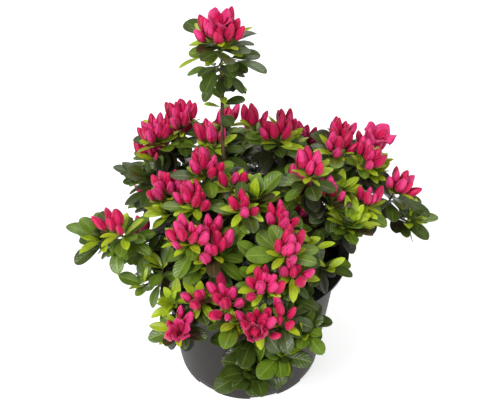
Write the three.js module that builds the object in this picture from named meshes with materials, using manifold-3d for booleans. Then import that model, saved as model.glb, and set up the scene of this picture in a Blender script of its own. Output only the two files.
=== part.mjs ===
// Azalea shrub in its nursery pot, in leaf and coming into flower.
// Millimetres, +Z up. The origin is the middle of the pot's flat underside.
// Azimuths are in degrees from the front (-Y) towards the right (+X).

import * as THREE from 'three';
import { mergeVertices } from 'three/addons/utils/BufferGeometryUtils.js';
import Module from 'manifold-3d';

const wasm = await Module();
wasm.setup();

const { Vector3 } = THREE;
const { lerp } = THREE.MathUtils;
const UP = new Vector3(0, 0, 1);
const CLEAR = 0.3; // gap that neighbouring solids keep

// Pot: a two-litre container with a flat rim flange and drain recesses round its foot
const POT_HEIGHT = 130;
const POT_BASE_RADIUS = 65;
const POT_SHOULDER_RADIUS = 77;
const POT_RIM_RADIUS = 85;
const POT_RIM_THICKNESS = 3;
const POT_RIM_ROUND = 0.8;
const POT_WALL = 1.8;
const POT_FLOOR = 5;
const POT_FOOT_BEVEL = 1.2;
const POT_SEGMENTS = 48;
const NOTCH_COUNT = 8;
const NOTCH_WIDTH = 25;
const NOTCH_HEIGHT = 3.5;
const NOTCH_DEPTH = 3.5;
const NOTCH_TURN = 12;

// Soil
const SOIL_TOP = 115;
const SOIL_CROWN = 1.2; // height of the low ring that the soil makes, seen in section
const SOIL_RING = 0.85; // radius of that ring, as a share of the pot's base
const SOIL_DIP = 0.45; // radius of the dip inside it
const SOIL_AT_TRUNK = 2; // level soil beyond the root flare
const SOIL_SEGMENTS = 32;

// Trunk: a short stem from a flat cut on the soil to its fork
const TRUNK_TOP = 151;
const TRUNK_RADIUS = 6.6;
const TRUNK_TOP_RADIUS = 5.2;
const TRUNK_LEAN = new Vector3(-2, 2, 0);
const TRUNK_TIP = 0.6; // share of the radius at the very top, hidden in the fork
const FLARE_RADIUS = 4.2;
const FLARE_FADE = 4; // power by which the root flare fades upwards
const FLARE_LOBES = 5;
const LOBE_DEPTH = 0.3; // share of the flare that comes and goes with the lobes
const TRUNK_SIDES = 15;
const TRUNK_STEPS = 4;

// Boughs leave the trunk in tiers
const TIER_HEIGHTS = [122, 129, 136, 143];
const TIER_MIN_ANGLE = 44;
const BOUGH_RADIUS = 2.1;
const TWIG_RADIUS = 1.2;
const THINNING = 0.7; // power by which a bough thins towards its fork
const MIN_OUTWARD = 16; // every bough first leans out at least this far
const OUTWARD_SHARE = 0.36; // of the fork's reach, where the bough has left the trunk
const OUTWARD_RISE = 0.45; // share of the climb to the elbow made by then
const SPREADING_PASSES = 60;
const BOUGH_SIDES = 5;
const BOUGH_STEPS = 5;
const ARCH_CLIMB = 8; // an arching bough climbs at least this much to its elbow
const RIM_PASS_HEIGHT = 160; // a bough that hangs over the rim first climbs to this height
const RIM_PASS_REACH = 84;
const TALL_ELBOW = 205; // a bough that ends higher than this rises upright from here
const ELBOW_REACH = { arching: 0.78, hanging: 0.9, tall: 1.3 }; // shares of the fork's reach
const PATH_POINTS = 8;
const LINE_POINTS = 12;
const ROOT_POINTS = 2; // of a shoot's line, inside the stem that it grows from

// Masses of leaves and flower buds
const MASS_SEED = 11;
const SHOOT_SEED = 1000;
const STEM_SEED = 500;
const CROWN_ROOT = new Vector3(0, 0, 40); // shoots point away from this point
const WHORL_LIFT = 0.45; // buds and leaves turn upwards from their shoot by this share
const FORK_DEPTH = 17; // from the shoots' tips back to their fork
const LONE_FORK_DEPTH = 25; // where a mass is one long shoot
const STEM_STEPS = 2;
const STEM_SIDES = 3;
const SHOOT_RADIUS = 0.75;
const SHOOT_SPACING = 3; // between the roots of a mass's shoots along its stem
const SHOOT_TURN_PLAY = 8;
const SHOOT_REACH_PLAY = 0.15;
const SHOOT_DEPTH_PLAY = 3;
const LEAFY_DROP = 5; // leafy shoots end this much deeper than flowering ones
const SPACE_REACH = 24; // a mass's claim on the space beyond its shoots
const ENTRY_REACH = 14; // where its bough ends, beyond its shoots
const ENTRY_MIN_SPREAD = 12;
const ENTRY_STEP = 0.02;
const ENTRY_LIMIT = 0.2;
const SPACE_MARGIN = 0.2;
const POT_MARGIN = 1;
const LIMB_MARGIN = 0.6;

// Leaf: each stands for a spray of leaves
const LEAF_LENGTH = 31;
const LEAF_WIDTH = 0.66;
const LEAF_THICKNESS = 0.7;
const LEAF_CUP = 0.07;
const LEAF_DROOP = 0.1;
const LEAF_ROOT = 0.3; // sunk past the twig's axis
const LEAF_FACE_UP = 1.6; // how strongly blades turn their faces upwards
const LEAVES_ON_FLOWER_SHOOT = 5;
const LEAVES_ON_LEAF_SHOOT = 7;
const LEAVES_ON_LONE_SHOOT = 15;
const LEAF_SPACING = 2.3;
const LONE_LEAF_SPACING = 1.7;
const LEAVES_ON_STEM = 3;
const STEM_LEAF_TILT = 72;
const STEM_LEAF_ROOM = 2; // bare stem where the mass begins
const STEM_LEAF_SIZE = { least: 0.7, most: 0.9 };
const FLOWER_ROOM = 2; // bare twig between a flowering shoot's tip and its leaves
const LOWEST_LEAF = 0.15; // share of the twig's length
const GOLDEN_ANGLE = 137.5;
const LEAF_TURN_PLAY = 15;
const LEAF_SIZE_PLAY = 0.15;
const TOP_TILT = { flowers: 60, leaves: 30 }; // lean of the uppermost leaf off the shoot
const FOOT_TILT = 102;
const LONE_FOOT_TILT = 136;
const LEAF_TRIES = 4;
const TRY_TILT = 14; // each try stands this much steeper
const TRY_SHRINK = 0.12;

// Bud: one upright in the middle of the truss and the others round it
const BUDS = 4;
const BUD_LENGTH = 24;
const BUD_RADIUS = 5.6;
const BUD_WAIST = 0.58; // share of the bud's length where it is widest
const BUD_ROOT = 0.3;
const BUD_FAN = 50;
const BUD_ROOM = 0.5; // share of the bud's radius that it keeps inside its mass's space

// One row for each mass: name, azimuth, reach and height of its middle, flowering shoots,
// leafy shoots, their distance from the middle, turn of the first one, how much further out
// the first stands than the last, tier of the bough, size of its leaves
const MASS_ROWS = [
  ['crown_top', -95, 20, 315, 1, 0, 0, 0, 0, 4, 1.2],
  ['high_left', -130, 85, 200, 3, 1, 15, 225, -15, 3, 1],
  ['upper_left', -65, 50, 200, 3, 1, 20, 225, -5, 4, 1],
  ['inner_left', -150, 45, 210, 2, 1, 15, 225, 5, 4, 0.9],
  ['high_middle', 155, 45, 210, 3, 1, 15, 135, 0, 4, 1],
  ['inner_middle', -15, 35, 205, 2, 1, 15, 300, 5, 4, 1],
  ['inner_right', 70, 45, 195, 3, 1, 5, 300, -50, 4, 1],
  ['high_right', 110, 90, 200, 4, 1, 20, 195, 5, 3, 1],
  ['right', 75, 80, 185, 2, 2, 15, 120, 0, 3, 1],
  ['far_right', 100, 130, 160, 1, 1, 20, 120, 0, 2, 1],
  ['far_left', -65, 100, 175, 2, 1, 15, 195, -45, 3, 0.9],
  ['left_edge', -50, 100, 155, 0, 2, 10, 345, 0, 2, 0.7],
  ['front_left', -25, 75, 190, 3, 1, 10, 210, 20, 3, 1],
  ['front_right', 20, 70, 190, 2, 1, 15, 255, 10, 4, 1],
  ['front_middle', 10, 90, 175, 1, 1, 15, 0, 0, 3, 0.9],
  ['front', 0, 100, 160, 3, 1, 15, 165, -10, 2, 0.9],
  ['low_left', -25, 105, 145, 2, 1, 15, 75, 0, 1, 0.8],
  ['low_front', 5, 110, 115, 0, 3, 15, 270, 0, 1, 1.1],
  ['low_right', 20, 105, 150, 1, 2, 15, 195, 0, 2, 0.9],
  ['right_edge', 40, 85, 175, 0, 2, 10, 195, 0, 2, 0.9],
  ['back_right', 140, 100, 165, 2, 1, 20, 60, 0, 2, 1],
  ['back_middle', -170, 90, 170, 2, 1, 20, 15, 0, 2, 1],
  ['back_left', -115, 100, 170, 1, 2, 20, 150, 0, 2, 1],
  ['low_back_right', 130, 110, 125, 1, 2, 20, 30, 0, 1, 1],
  ['low_back_left', -135, 110, 125, 1, 2, 20, 30, 0, 1, 1],
  ['low_back', 175, 110, 125, 1, 2, 20, 90, 0, 1, 1],
];

// A seeded run of numbers, the same each time
class Dice {
  constructor(seed) {
    this.state = (seed * 7919) % 2147483647;
    this.roll();
    this.roll();
  }

  roll() {
    this.state = (this.state * 48271) % 2147483647;
    return this.state / 2147483647;
  }

  between(low, high) {
    return low + (high - low) * this.roll();
  }
}

const radians = (degrees) => THREE.MathUtils.degToRad(degrees);

function onCrown(azimuth, reach, height) {
  const angle = radians(azimuth);
  return new Vector3(reach * Math.sin(angle), -reach * Math.cos(angle), height);
}

// A closed geometry becomes a solid, with its faces turned outwards
function toSolid(geometry) {
  const bare = geometry.clone();
  bare.deleteAttribute('normal');
  bare.deleteAttribute('uv');
  const merged = mergeVertices(bare, 1e-4);
  const position = merged.attributes.position;
  const index = merged.index.array;
  const triangles = [];
  let volume = 0;
  const a = new Vector3();
  const b = new Vector3();
  const c = new Vector3();
  for (let i = 0; i < index.length; i += 3) {
    const corners = [index[i], index[i + 1], index[i + 2]];
    if (new Set(corners).size < 3) {
      continue;
    }
    a.fromBufferAttribute(position, corners[0]);
    b.fromBufferAttribute(position, corners[1]);
    c.fromBufferAttribute(position, corners[2]);
    volume += a.dot(b.cross(c));
    triangles.push(...corners);
  }
  if (volume < 0) {
    triangles.reverse();
  }
  const vertProperties = Float32Array.from(position.array);
  const triVerts = Uint32Array.from(triangles);
  return new wasm.Manifold(new wasm.Mesh({ numProp: 3, vertProperties, triVerts }));
}

function toGeometry(solid) {
  const mesh = solid.getMesh();
  const geometry = new THREE.BufferGeometry();
  geometry.setAttribute('position', new THREE.BufferAttribute(mesh.vertProperties, 3));
  geometry.setIndex(new THREE.BufferAttribute(mesh.triVerts, 1));
  geometry.computeVertexNormals();
  return geometry;
}

// The largest piece: loose scraps are dropped and sealed hollows are filled
function largestPiece(solid) {
  const pieces = solid.decompose();
  return pieces.reduce((best, piece) => (piece.volume() > best.volume() ? piece : best));
}

function joined(solids) {
  return solids.reduce((sum, solid) => sum.add(solid));
}

// A lathe profile of [radius, height] pairs, turned about Z
function turned(profile, segments) {
  const points = profile.map(([radius, height]) => new THREE.Vector2(radius, height));
  return toSolid(new THREE.LatheGeometry(points, segments).rotateX(Math.PI / 2));
}

// A tapering limb: a cylinder bent along a curve, with a section of its own at each step
function limb(curve, radiusAt, sides, steps, level = false) {
  const geometry = new THREE.CylinderGeometry(1, 1, 1, sides, steps);
  const position = geometry.attributes.position;
  const frames = curve.computeFrenetFrames(steps, false);
  for (let i = 0; i < position.count; i += 1) {
    const step = Math.round((position.getY(i) + 0.5) * steps);
    const across = level ? new Vector3(1, 0, 0) : frames.normals[step];
    const over = level ? new Vector3(0, 1, 0) : frames.binormals[step];
    const x = position.getX(i);
    const z = position.getZ(i);
    const radius = radiusAt(step / steps, Math.atan2(z, x));
    const point = curve.getPointAt(step / steps);
    point.addScaledVector(across, x * radius).addScaledVector(over, z * radius);
    position.setXYZ(i, point.x, point.y, point.z);
  }
  return toSolid(geometry);
}

// Pot

function potOuterRadius(height) {
  const shoulder = POT_HEIGHT - POT_RIM_THICKNESS;
  return lerp(POT_BASE_RADIUS, POT_SHOULDER_RADIUS, height / shoulder);
}

function potProfile(grow) {
  const under = POT_HEIGHT - POT_RIM_THICKNESS - grow;
  const top = POT_HEIGHT + grow;
  const rim = POT_RIM_RADIUS + grow;
  return [
    [0, -grow],
    [POT_BASE_RADIUS - POT_FOOT_BEVEL + grow, -grow],
    [POT_BASE_RADIUS + grow, POT_FOOT_BEVEL - grow],
    [potOuterRadius(under) + grow, under],
    [rim - POT_RIM_ROUND, under],
    [rim, under + POT_RIM_ROUND],
    [rim, top - POT_RIM_ROUND],
    [rim - POT_RIM_ROUND, top],
    [potOuterRadius(POT_HEIGHT) - POT_WALL + POT_RIM_ROUND - grow, top],
    [potOuterRadius(POT_HEIGHT) - POT_WALL - grow, top - POT_RIM_ROUND],
    [potOuterRadius(POT_FLOOR) - POT_WALL - grow, POT_FLOOR + grow],
    [0, POT_FLOOR + grow],
  ];
}

function makePot() {
  let pot = turned(potProfile(0), POT_SEGMENTS);
  for (let i = 0; i < NOTCH_COUNT; i += 1) {
    const angle = radians(NOTCH_TURN + (i * 360) / NOTCH_COUNT);
    const notch = new THREE.BoxGeometry(NOTCH_WIDTH, 2 * NOTCH_DEPTH, 2 * NOTCH_HEIGHT);
    notch.translate(0, -POT_BASE_RADIUS, 0).rotateZ(angle);
    pot = pot.subtract(toSolid(notch));
  }
  return pot;
}

function makeSoil() {
  const low = POT_FLOOR + CLEAR;
  const wallGap = POT_WALL + CLEAR;
  return turned([
    [0, low],
    [potOuterRadius(low) - wallGap, low],
    [potOuterRadius(SOIL_TOP - SOIL_CROWN) - wallGap, SOIL_TOP - SOIL_CROWN],
    [POT_BASE_RADIUS * SOIL_RING, SOIL_TOP + SOIL_CROWN],
    [POT_BASE_RADIUS * SOIL_DIP, SOIL_TOP - SOIL_CROWN / 2],
    [TRUNK_RADIUS + FLARE_RADIUS + SOIL_AT_TRUNK, SOIL_TOP],
    [0, SOIL_TOP],
  ], SOIL_SEGMENTS);
}

// Trunk

const trunkFoot = new Vector3(0, 0, SOIL_TOP + CLEAR);
const trunkTip = new Vector3(TRUNK_LEAN.x, TRUNK_LEAN.y, TRUNK_TOP);
const trunkLine = new THREE.LineCurve3(trunkFoot, trunkTip);

function makeTrunk(grow) {
  const radiusAt = (along, angle) => {
    const lobe = 1 - LOBE_DEPTH + LOBE_DEPTH * Math.cos(FLARE_LOBES * angle);
    const flare = FLARE_RADIUS * (1 - along) ** FLARE_FADE * lobe;
    const tip = along === 1 ? TRUNK_TIP : 1;
    return (lerp(TRUNK_RADIUS, TRUNK_TOP_RADIUS, along) + flare) * tip + grow;
  };
  const line = trunkLine.clone();
  line.v2 = trunkTip.clone().setZ(TRUNK_TOP + grow);
  line.v1 = trunkFoot.clone().setZ(trunkFoot.z - grow);
  return limb(line, radiusAt, TRUNK_SIDES, TRUNK_STEPS, true);
}

function trunkAxisAt(height) {
  return trunkLine.getPoint((height - trunkFoot.z) / (TRUNK_TOP - trunkFoot.z));
}

// Layout of the masses

function layOutMass(row, index) {
  const [name, azimuth, reach, height, flowering, leafy, spread, turn] = row;
  const [rise, tier, leafSize] = row.slice(8);
  const dice = new Dice(MASS_SEED + index);
  const centre = onCrown(azimuth, reach, height);
  const axis = centre.clone().sub(CROWN_ROOT).normalize();
  const side = UP.clone().cross(axis).normalize();
  const up = axis.clone().cross(side);
  const shoots = [];
  for (let i = 0; i < flowering + leafy; i += 1) {
    let angle = turn + (i * 360) / Math.max(flowering, 1);
    if (i >= flowering) {
      const leafTurn = Math.min(90, 180 / Math.max(flowering, 1));
      angle = turn + leafTurn + ((i - flowering) * 360) / leafy;
    }
    angle = radians(angle + dice.between(-SHOOT_TURN_PLAY, SHOOT_TURN_PLAY));
    const out = spread * dice.between(1 - SHOOT_REACH_PLAY, 1 + SHOOT_REACH_PLAY);
    const tip = centre.clone();
    tip.addScaledVector(side, Math.cos(angle) * out);
    tip.addScaledVector(up, Math.sin(angle) * out);
    const order = flowering > 1 ? 0.5 - Math.min(i / (flowering - 1), 1) : 0;
    const depth = dice.between(-SHOOT_DEPTH_PLAY, SHOOT_DEPTH_PLAY);
    tip.addScaledVector(axis, order * rise + depth - (i < flowering ? 0 : LEAFY_DROP));
    const direction = tip.clone().sub(CROWN_ROOT).normalize();
    const whorl = direction.clone().addScaledVector(UP, WHORL_LIFT).normalize();
    const shootDice = new Dice(SHOOT_SEED + index * 10 + i);
    shoots.push({ tip, axis: direction, whorl, flowers: i < flowering, dice: shootDice });
  }
  const lone = spread === 0;
  const depth = lone ? LONE_FORK_DEPTH : FORK_DEPTH;
  const fork = centre.clone().addScaledVector(axis, -depth);
  return { name, index, azimuth, tier, spread, lone, depth, centre, fork, shoots, leafSize };
}

// Boughs of one tier start round the trunk at least TIER_MIN_ANGLE apart
function startAngles(masses) {
  for (let tier = 1; tier <= TIER_HEIGHTS.length; tier += 1) {
    const ring = masses.filter((mass) => mass.tier === tier);
    ring.sort((a, b) => a.azimuth - b.azimuth);
    ring.forEach((mass) => {
      mass.start = mass.azimuth;
    });
    for (let pass = 0; pass < SPREADING_PASSES; pass += 1) {
      ring.forEach((mass, i) => {
        const next = ring[(i + 1) % ring.length];
        const turn = i + 1 === ring.length ? 360 : 0;
        const lack = TIER_MIN_ANGLE - (next.start + turn - mass.start);
        if (lack > 0) {
          mass.start -= lack / 2;
          next.start += lack / 2;
        }
      });
    }
  }
}

// The way from the trunk's axis to the fork of the mass's shoots
function limbPath(mass) {
  const height = TIER_HEIGHTS[mass.tier - 1];
  const foot = trunkAxisAt(height);
  const { fork } = mass;
  const forkReach = Math.hypot(fork.x, fork.y);
  const hangs = forkReach > RIM_PASS_REACH && fork.z < RIM_PASS_HEIGHT;
  const passHeight = RIM_PASS_HEIGHT + Math.max(POT_HEIGHT - fork.z, 0) / 2;
  const archHeight = Math.min(Math.max(fork.z - FORK_DEPTH, height + ARCH_CLIMB), TALL_ELBOW);
  const elbowHeight = hangs ? passHeight : archHeight;
  let habit = hangs ? 'hanging' : 'arching';
  if (fork.z > TALL_ELBOW + FORK_DEPTH) {
    habit = 'tall';
  }
  const elbow = onCrown(mass.azimuth, forkReach * ELBOW_REACH[habit], elbowHeight);
  const rise = lerp(height, elbowHeight, OUTWARD_RISE);
  const outward = onCrown(mass.start, Math.max(forkReach * OUTWARD_SHARE, MIN_OUTWARD), rise);
  outward.add(foot).setZ(rise);
  return new THREE.CubicBezierCurve3(foot, outward, elbow, fork);
}

const masses = MASS_ROWS.map(layOutMass);
startAngles(masses);
masses.forEach((mass) => {
  mass.path = limbPath(mass);
  mass.space = mass.spread + SPACE_REACH;
});

// How far a point lies inside a mass's own space, in millimetres
function depthInSpace(mass, point) {
  const own = point.distanceToSquared(mass.centre) - mass.space ** 2;
  let depth = Infinity;
  masses.forEach((other) => {
    if (other !== mass) {
      const its = point.distanceToSquared(other.centre) - other.space ** 2;
      depth = Math.min(depth, (its - own) / (2 * other.centre.distanceTo(mass.centre)));
    }
  });
  return depth;
}

// A limb thins evenly from the trunk to the fork
function limbRadius(along) {
  return lerp(BOUGH_RADIUS, TWIG_RADIUS, along ** THINNING);
}

// The bough ends where its path enters the mass and stays in it
function entryOf(mass) {
  const beyond = mass.depth - FORK_DEPTH;
  const reach = Math.max(mass.spread, ENTRY_MIN_SPREAD) + ENTRY_REACH + beyond;
  let along = 1;
  while (along > ENTRY_LIMIT) {
    const point = mass.path.getPointAt(along - ENTRY_STEP);
    const inside = depthInSpace(mass, point) > limbRadius(along) + CLEAR;
    if (!inside || point.distanceTo(mass.centre) > reach) {
      break;
    }
    along -= ENTRY_STEP;
  }
  return along;
}

// Part of a path, as a curve of its own
function pathPart(path, from, to) {
  const points = [];
  for (let i = 0; i <= PATH_POINTS; i += 1) {
    points.push(path.getPointAt(lerp(from, to, i / PATH_POINTS)));
  }
  return new THREE.CatmullRomCurve3(points);
}

function boughSolid(mass, grow) {
  const part = pathPart(mass.path, 0, mass.entry);
  const radiusAt = (along) => limbRadius(along * mass.entry) + grow;
  return limb(part, radiusAt, BOUGH_SIDES, BOUGH_STEPS);
}

const trunk = makeTrunk(0);
let limbSpace = makeTrunk(CLEAR);
masses.forEach((mass) => {
  mass.entry = entryOf(mass);
  mass.bough = largestPiece(boughSolid(mass, 0).subtract(limbSpace));
  limbSpace = limbSpace.add(boughSolid(mass, CLEAR));
});

// Where leaves and twigs may be

const limbLines = masses.map((mass) => {
  const points = [];
  for (let i = 0; i <= LINE_POINTS; i += 1) {
    points.push(mass.path.getPointAt((mass.entry * i) / LINE_POINTS));
  }
  return points;
});

function clearOfLimbs(point, margin) {
  const nearest = new Vector3();
  const segment = new THREE.Line3();
  const trunkReach = Math.hypot(point.x - TRUNK_LEAN.x / 2, point.y - TRUNK_LEAN.y / 2);
  if (point.z < TRUNK_TOP + margin && trunkReach < TRUNK_RADIUS + FLARE_RADIUS + margin) {
    return false;
  }
  return limbLines.every((line) => {
    for (let i = 1; i < line.length; i += 1) {
      segment.set(line[i - 1], line[i]);
      segment.closestPointToPoint(point, true, nearest);
      if (nearest.distanceTo(point) < BOUGH_RADIUS + margin) {
        return false;
      }
    }
    return true;
  });
}

function clearOfPot(point, margin) {
  const reach = Math.hypot(point.x, point.y);
  if (point.z > POT_HEIGHT + margin) {
    return true;
  }
  const inner = potOuterRadius(point.z) - POT_WALL - margin;
  if (reach < inner) {
    return point.z > SOIL_TOP + SOIL_CROWN + margin;
  }
  const underRim = point.z < POT_HEIGHT - POT_RIM_THICKNESS - margin;
  return reach > (underRim ? potOuterRadius(point.z) : POT_RIM_RADIUS) + margin;
}

function isFree(mass, point) {
  return depthInSpace(mass, point) > SPACE_MARGIN && clearOfPot(point, POT_MARGIN)
    && clearOfLimbs(point, LIMB_MARGIN);
}

// Leaf: six points round its outline and one in the middle of each side, given as shares
// of its length along it and of its width across it

const LEAF_OUTLINE = [[1, 0], [0.66, 0.5], [0.3, 0.36], [0, 0], [0.3, -0.36], [0.66, -0.5]];
const LEAF_MIDDLE = 0.45;
const LEAF_TESTS = [[0.35, 0], [0.6, 0], [0.8, 0.25], [0.8, -0.25], [0.5, 0.4], [0.5, -0.4]];

function leafPoint(leaf, along, across, lift) {
  const point = leaf.base.clone();
  point.addScaledVector(leaf.direction, along * (leaf.length + LEAF_ROOT) - LEAF_ROOT);
  point.addScaledVector(leaf.side, across * leaf.length * LEAF_WIDTH);
  const bend = LEAF_CUP * Math.abs(across) * 2 - LEAF_DROOP * along ** 2;
  return point.addScaledVector(leaf.normal, bend * leaf.length + lift);
}

function leafSolid(leaf) {
  const geometry = new THREE.SphereGeometry(1, 6, 2);
  const position = geometry.attributes.position;
  for (let i = 0; i < position.count; i += 1) {
    const pole = position.getY(i);
    let point;
    if (Math.abs(pole) > 0.5) {
      point = leafPoint(leaf, LEAF_MIDDLE, 0, (Math.sign(pole) * LEAF_THICKNESS) / 2);
    } else {
      const angle = Math.atan2(position.getZ(i), position.getX(i));
      const corner = (Math.round(angle / (Math.PI / 3)) + 6) % 6;
      point = leafPoint(leaf, ...LEAF_OUTLINE[corner], 0);
    }
    position.setXYZ(i, point.x, point.y, point.z);
  }
  return toSolid(geometry);
}

function leafIsFree(mass, leaf) {
  const outline = LEAF_OUTLINE.filter(([along]) => along > 0);
  return [...LEAF_TESTS, ...outline].every(([along, across]) => (
    isFree(mass, leafPoint(leaf, along, across, 0))
  ));
}

// A leaf is tried at its full size, then smaller and more upright, and else left out
function placeLeaf(mass, shoot, others, base, turn, tilt, length) {
  const { whorl, first, second } = shoot;
  for (let attempt = 0; attempt < LEAF_TRIES; attempt += 1) {
    const lean = radians(tilt - attempt * TRY_TILT);
    const direction = first.clone().multiplyScalar(Math.cos(turn));
    direction.addScaledVector(second, Math.sin(turn)).multiplyScalar(Math.sin(lean));
    direction.addScaledVector(whorl, Math.cos(lean)).normalize();
    const normal = whorl.clone().addScaledVector(UP, LEAF_FACE_UP);
    normal.addScaledVector(direction, -normal.dot(direction)).normalize();
    const side = direction.clone().cross(normal);
    const size = length * (1 - attempt * TRY_SHRINK);
    const leaf = { base, direction, normal, side, length: size };
    if (leafIsFree(mass, leaf)) {
      const solid = leafSolid(leaf);
      if (others.every((other) => solid.intersect(other).isEmpty())) {
        return solid;
      }
    }
  }
  return null;
}

// Bud: a four-sided spindle on its stalk
function budSolid(base, direction, turn) {
  const geometry = new THREE.SphereGeometry(1, 4, 2).rotateY(turn);
  geometry.scale(BUD_RADIUS, 1, BUD_RADIUS);
  const position = geometry.attributes.position;
  for (let i = 0; i < position.count; i += 1) {
    const pole = position.getY(i);
    const along = Math.abs(pole) > 0.5 ? (pole + 1) / 2 : BUD_WAIST;
    position.setY(i, along * BUD_LENGTH);
  }
  const tilt = new THREE.Quaternion().setFromUnitVectors(new Vector3(0, 1, 0), direction);
  geometry.applyQuaternion(tilt).translate(base.x, base.y, base.z);
  return toSolid(geometry);
}

function placeBud(mass, shoot, number) {
  const turn = radians((number * 360) / (BUDS - 1));
  const lean = number === 0 ? 0 : radians(BUD_FAN);
  const direction = shoot.first.clone().multiplyScalar(Math.cos(turn));
  direction.addScaledVector(shoot.second, Math.sin(turn)).multiplyScalar(Math.sin(lean));
  direction.addScaledVector(shoot.whorl, Math.cos(lean)).normalize();
  const base = shoot.tip.clone().addScaledVector(shoot.axis, -BUD_ROOT);
  const tests = [BUD_WAIST / 2, BUD_WAIST, 1].map((along) => (
    base.clone().addScaledVector(direction, along * BUD_LENGTH)
  ));
  const free = tests.every((point) => depthInSpace(mass, point) > BUD_RADIUS * BUD_ROOM
    && isFree(mass, point));
  return free ? budSolid(base, direction, turn) : null;
}

// The twigs of the shoots that have room
function growTwigs(mass) {
  const length = mass.path.getLength();
  mass.shoots.forEach((shoot, i) => {
    const root = mass.path.getPointAt(1 - (i * SHOOT_SPACING + TWIG_RADIUS / 2) / length);
    shoot.line = new THREE.LineCurve3(root, shoot.tip);
    const points = shoot.line.getPoints(LINE_POINTS).slice(ROOT_POINTS);
    if (points.every((point) => isFree(mass, point))) {
      shoot.twig = limb(shoot.line, () => SHOOT_RADIUS, STEM_SIDES, 1);
    }
  });
  mass.shoots = mass.shoots.filter((shoot) => shoot.twig);
}

// One shoot's buds and its whorl of leaves, clear of all but their own twig
function dressShoot(mass, shoot, stem) {
  const { line } = shoot;
  const length = line.getLength();
  const twigs = mass.shoots.filter((other) => other !== shoot).map((other) => other.twig);
  const others = [...mass.leaves, ...twigs, stem];
  shoot.first = UP.clone().cross(shoot.whorl).normalize();
  shoot.second = shoot.whorl.clone().cross(shoot.first);
  for (let i = 0; shoot.flowers && i < BUDS; i += 1) {
    const bud = placeBud(mass, shoot, i);
    if (bud) {
      others.push(bud);
      mass.leaves.push(bud);
    }
  }
  const { lone } = mass;
  let leaves = shoot.flowers ? LEAVES_ON_FLOWER_SHOOT : LEAVES_ON_LEAF_SHOOT;
  if (lone) {
    leaves = LEAVES_ON_LONE_SHOOT;
  }
  const spacing = lone ? LONE_LEAF_SPACING : LEAF_SPACING;
  const topTilt = shoot.flowers ? TOP_TILT.flowers : TOP_TILT.leaves;
  const footTilt = lone ? LONE_FOOT_TILT : FOOT_TILT;
  const firstTurn = shoot.dice.between(0, 360);
  for (let i = 0; i < leaves; i += 1) {
    const below = i * spacing + (shoot.flowers ? FLOWER_ROOM : 0);
    const base = line.getPoint(Math.max(1 - below / length, LOWEST_LEAF));
    const play = shoot.dice.between(-LEAF_TURN_PLAY, LEAF_TURN_PLAY);
    const turn = radians(firstTurn + i * GOLDEN_ANGLE + play);
    const tilt = lerp(topTilt, footTilt, (i + 0.5) / leaves);
    const grown = shoot.dice.between(1 - LEAF_SIZE_PLAY, 1 + LEAF_SIZE_PLAY);
    const size = LEAF_LENGTH * mass.leafSize * grown;
    const leaf = placeLeaf(mass, shoot, others, base, turn, tilt, size);
    if (leaf) {
      others.push(leaf);
      mass.leaves.push(leaf);
    }
  }
}

// Older leaves along the stem inside the mass
function dressStem(mass, twigs, length) {
  const dice = new Dice(STEM_SEED + mass.index);
  const firstTurn = dice.between(0, 360);
  for (let i = 0; i < LEAVES_ON_STEM; i += 1) {
    const from = mass.entry + STEM_LEAF_ROOM / length;
    const along = lerp(from, 1, (i + 0.5) / LEAVES_ON_STEM);
    const axis = mass.path.getTangentAt(along);
    const first = UP.clone().cross(axis).normalize();
    const second = axis.clone().cross(first);
    const base = mass.path.getPointAt(along);
    const turn = radians(firstTurn + i * GOLDEN_ANGLE);
    const grown = dice.between(STEM_LEAF_SIZE.least, STEM_LEAF_SIZE.most);
    const size = LEAF_LENGTH * mass.leafSize * grown;
    const others = [...mass.leaves, ...twigs];
    const leaf = placeLeaf(mass, { whorl: axis, first, second }, others, base, turn,
      STEM_LEAF_TILT, size);
    if (leaf) {
      mass.leaves.push(leaf);
    }
  }
}

function massSolid(mass) {
  const length = mass.path.getLength();
  const from = mass.entry + CLEAR / length;
  const radiusAt = (along) => limbRadius(lerp(from, 1, along));
  const stem = limb(pathPart(mass.path, from, 1), radiusAt, STEM_SIDES, STEM_STEPS);
  mass.leaves = [];
  growTwigs(mass);
  mass.shoots.forEach((shoot) => {
    dressShoot(mass, shoot, stem);
  });
  const twigs = mass.shoots.map((shoot) => shoot.twig);
  dressStem(mass, twigs, length);
  return largestPiece(joined([stem, ...twigs, ...mass.leaves]).subtract(limbSpace));
}

// The whole plant

const finishes = {
  pot: { color: 0x2c2a29, roughness: 0.5, metalness: 0 },
  soil: { color: 0x1d1713, roughness: 0.95, metalness: 0 },
  bark: { color: 0x4a3527, roughness: 0.85, metalness: 0 },
  leaf: { color: 0x4d6b26, roughness: 0.45, metalness: 0 },
};

const group = new THREE.Group();

function addPart(name, solid, finish) {
  const material = new THREE.MeshStandardMaterial(finishes[finish]);
  const mesh = new THREE.Mesh(toGeometry(solid), material);
  mesh.name = name;
  group.add(mesh);
}

addPart('pot', makePot(), 'pot');
addPart('soil', makeSoil(), 'soil');
addPart('trunk', trunk, 'bark');
masses.forEach((mass) => {
  addPart(`bough_${mass.name}`, mass.bough, 'bark');
});
masses.forEach((mass) => {
  addPart(`mass_${mass.name}`, massSolid(mass), 'leaf');
});

export default group;
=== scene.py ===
"""Azalea shrub in its nursery pot: pot, soil, bark, twigs, leaves, buds and open flowers.

Sizes are millimetres until a mesh is made. Azimuths are degrees from the front (-Y) to the
right (+X). The limbs and shoots follow the rule that lays out the solids.
"""

import math
from itertools import product

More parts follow.
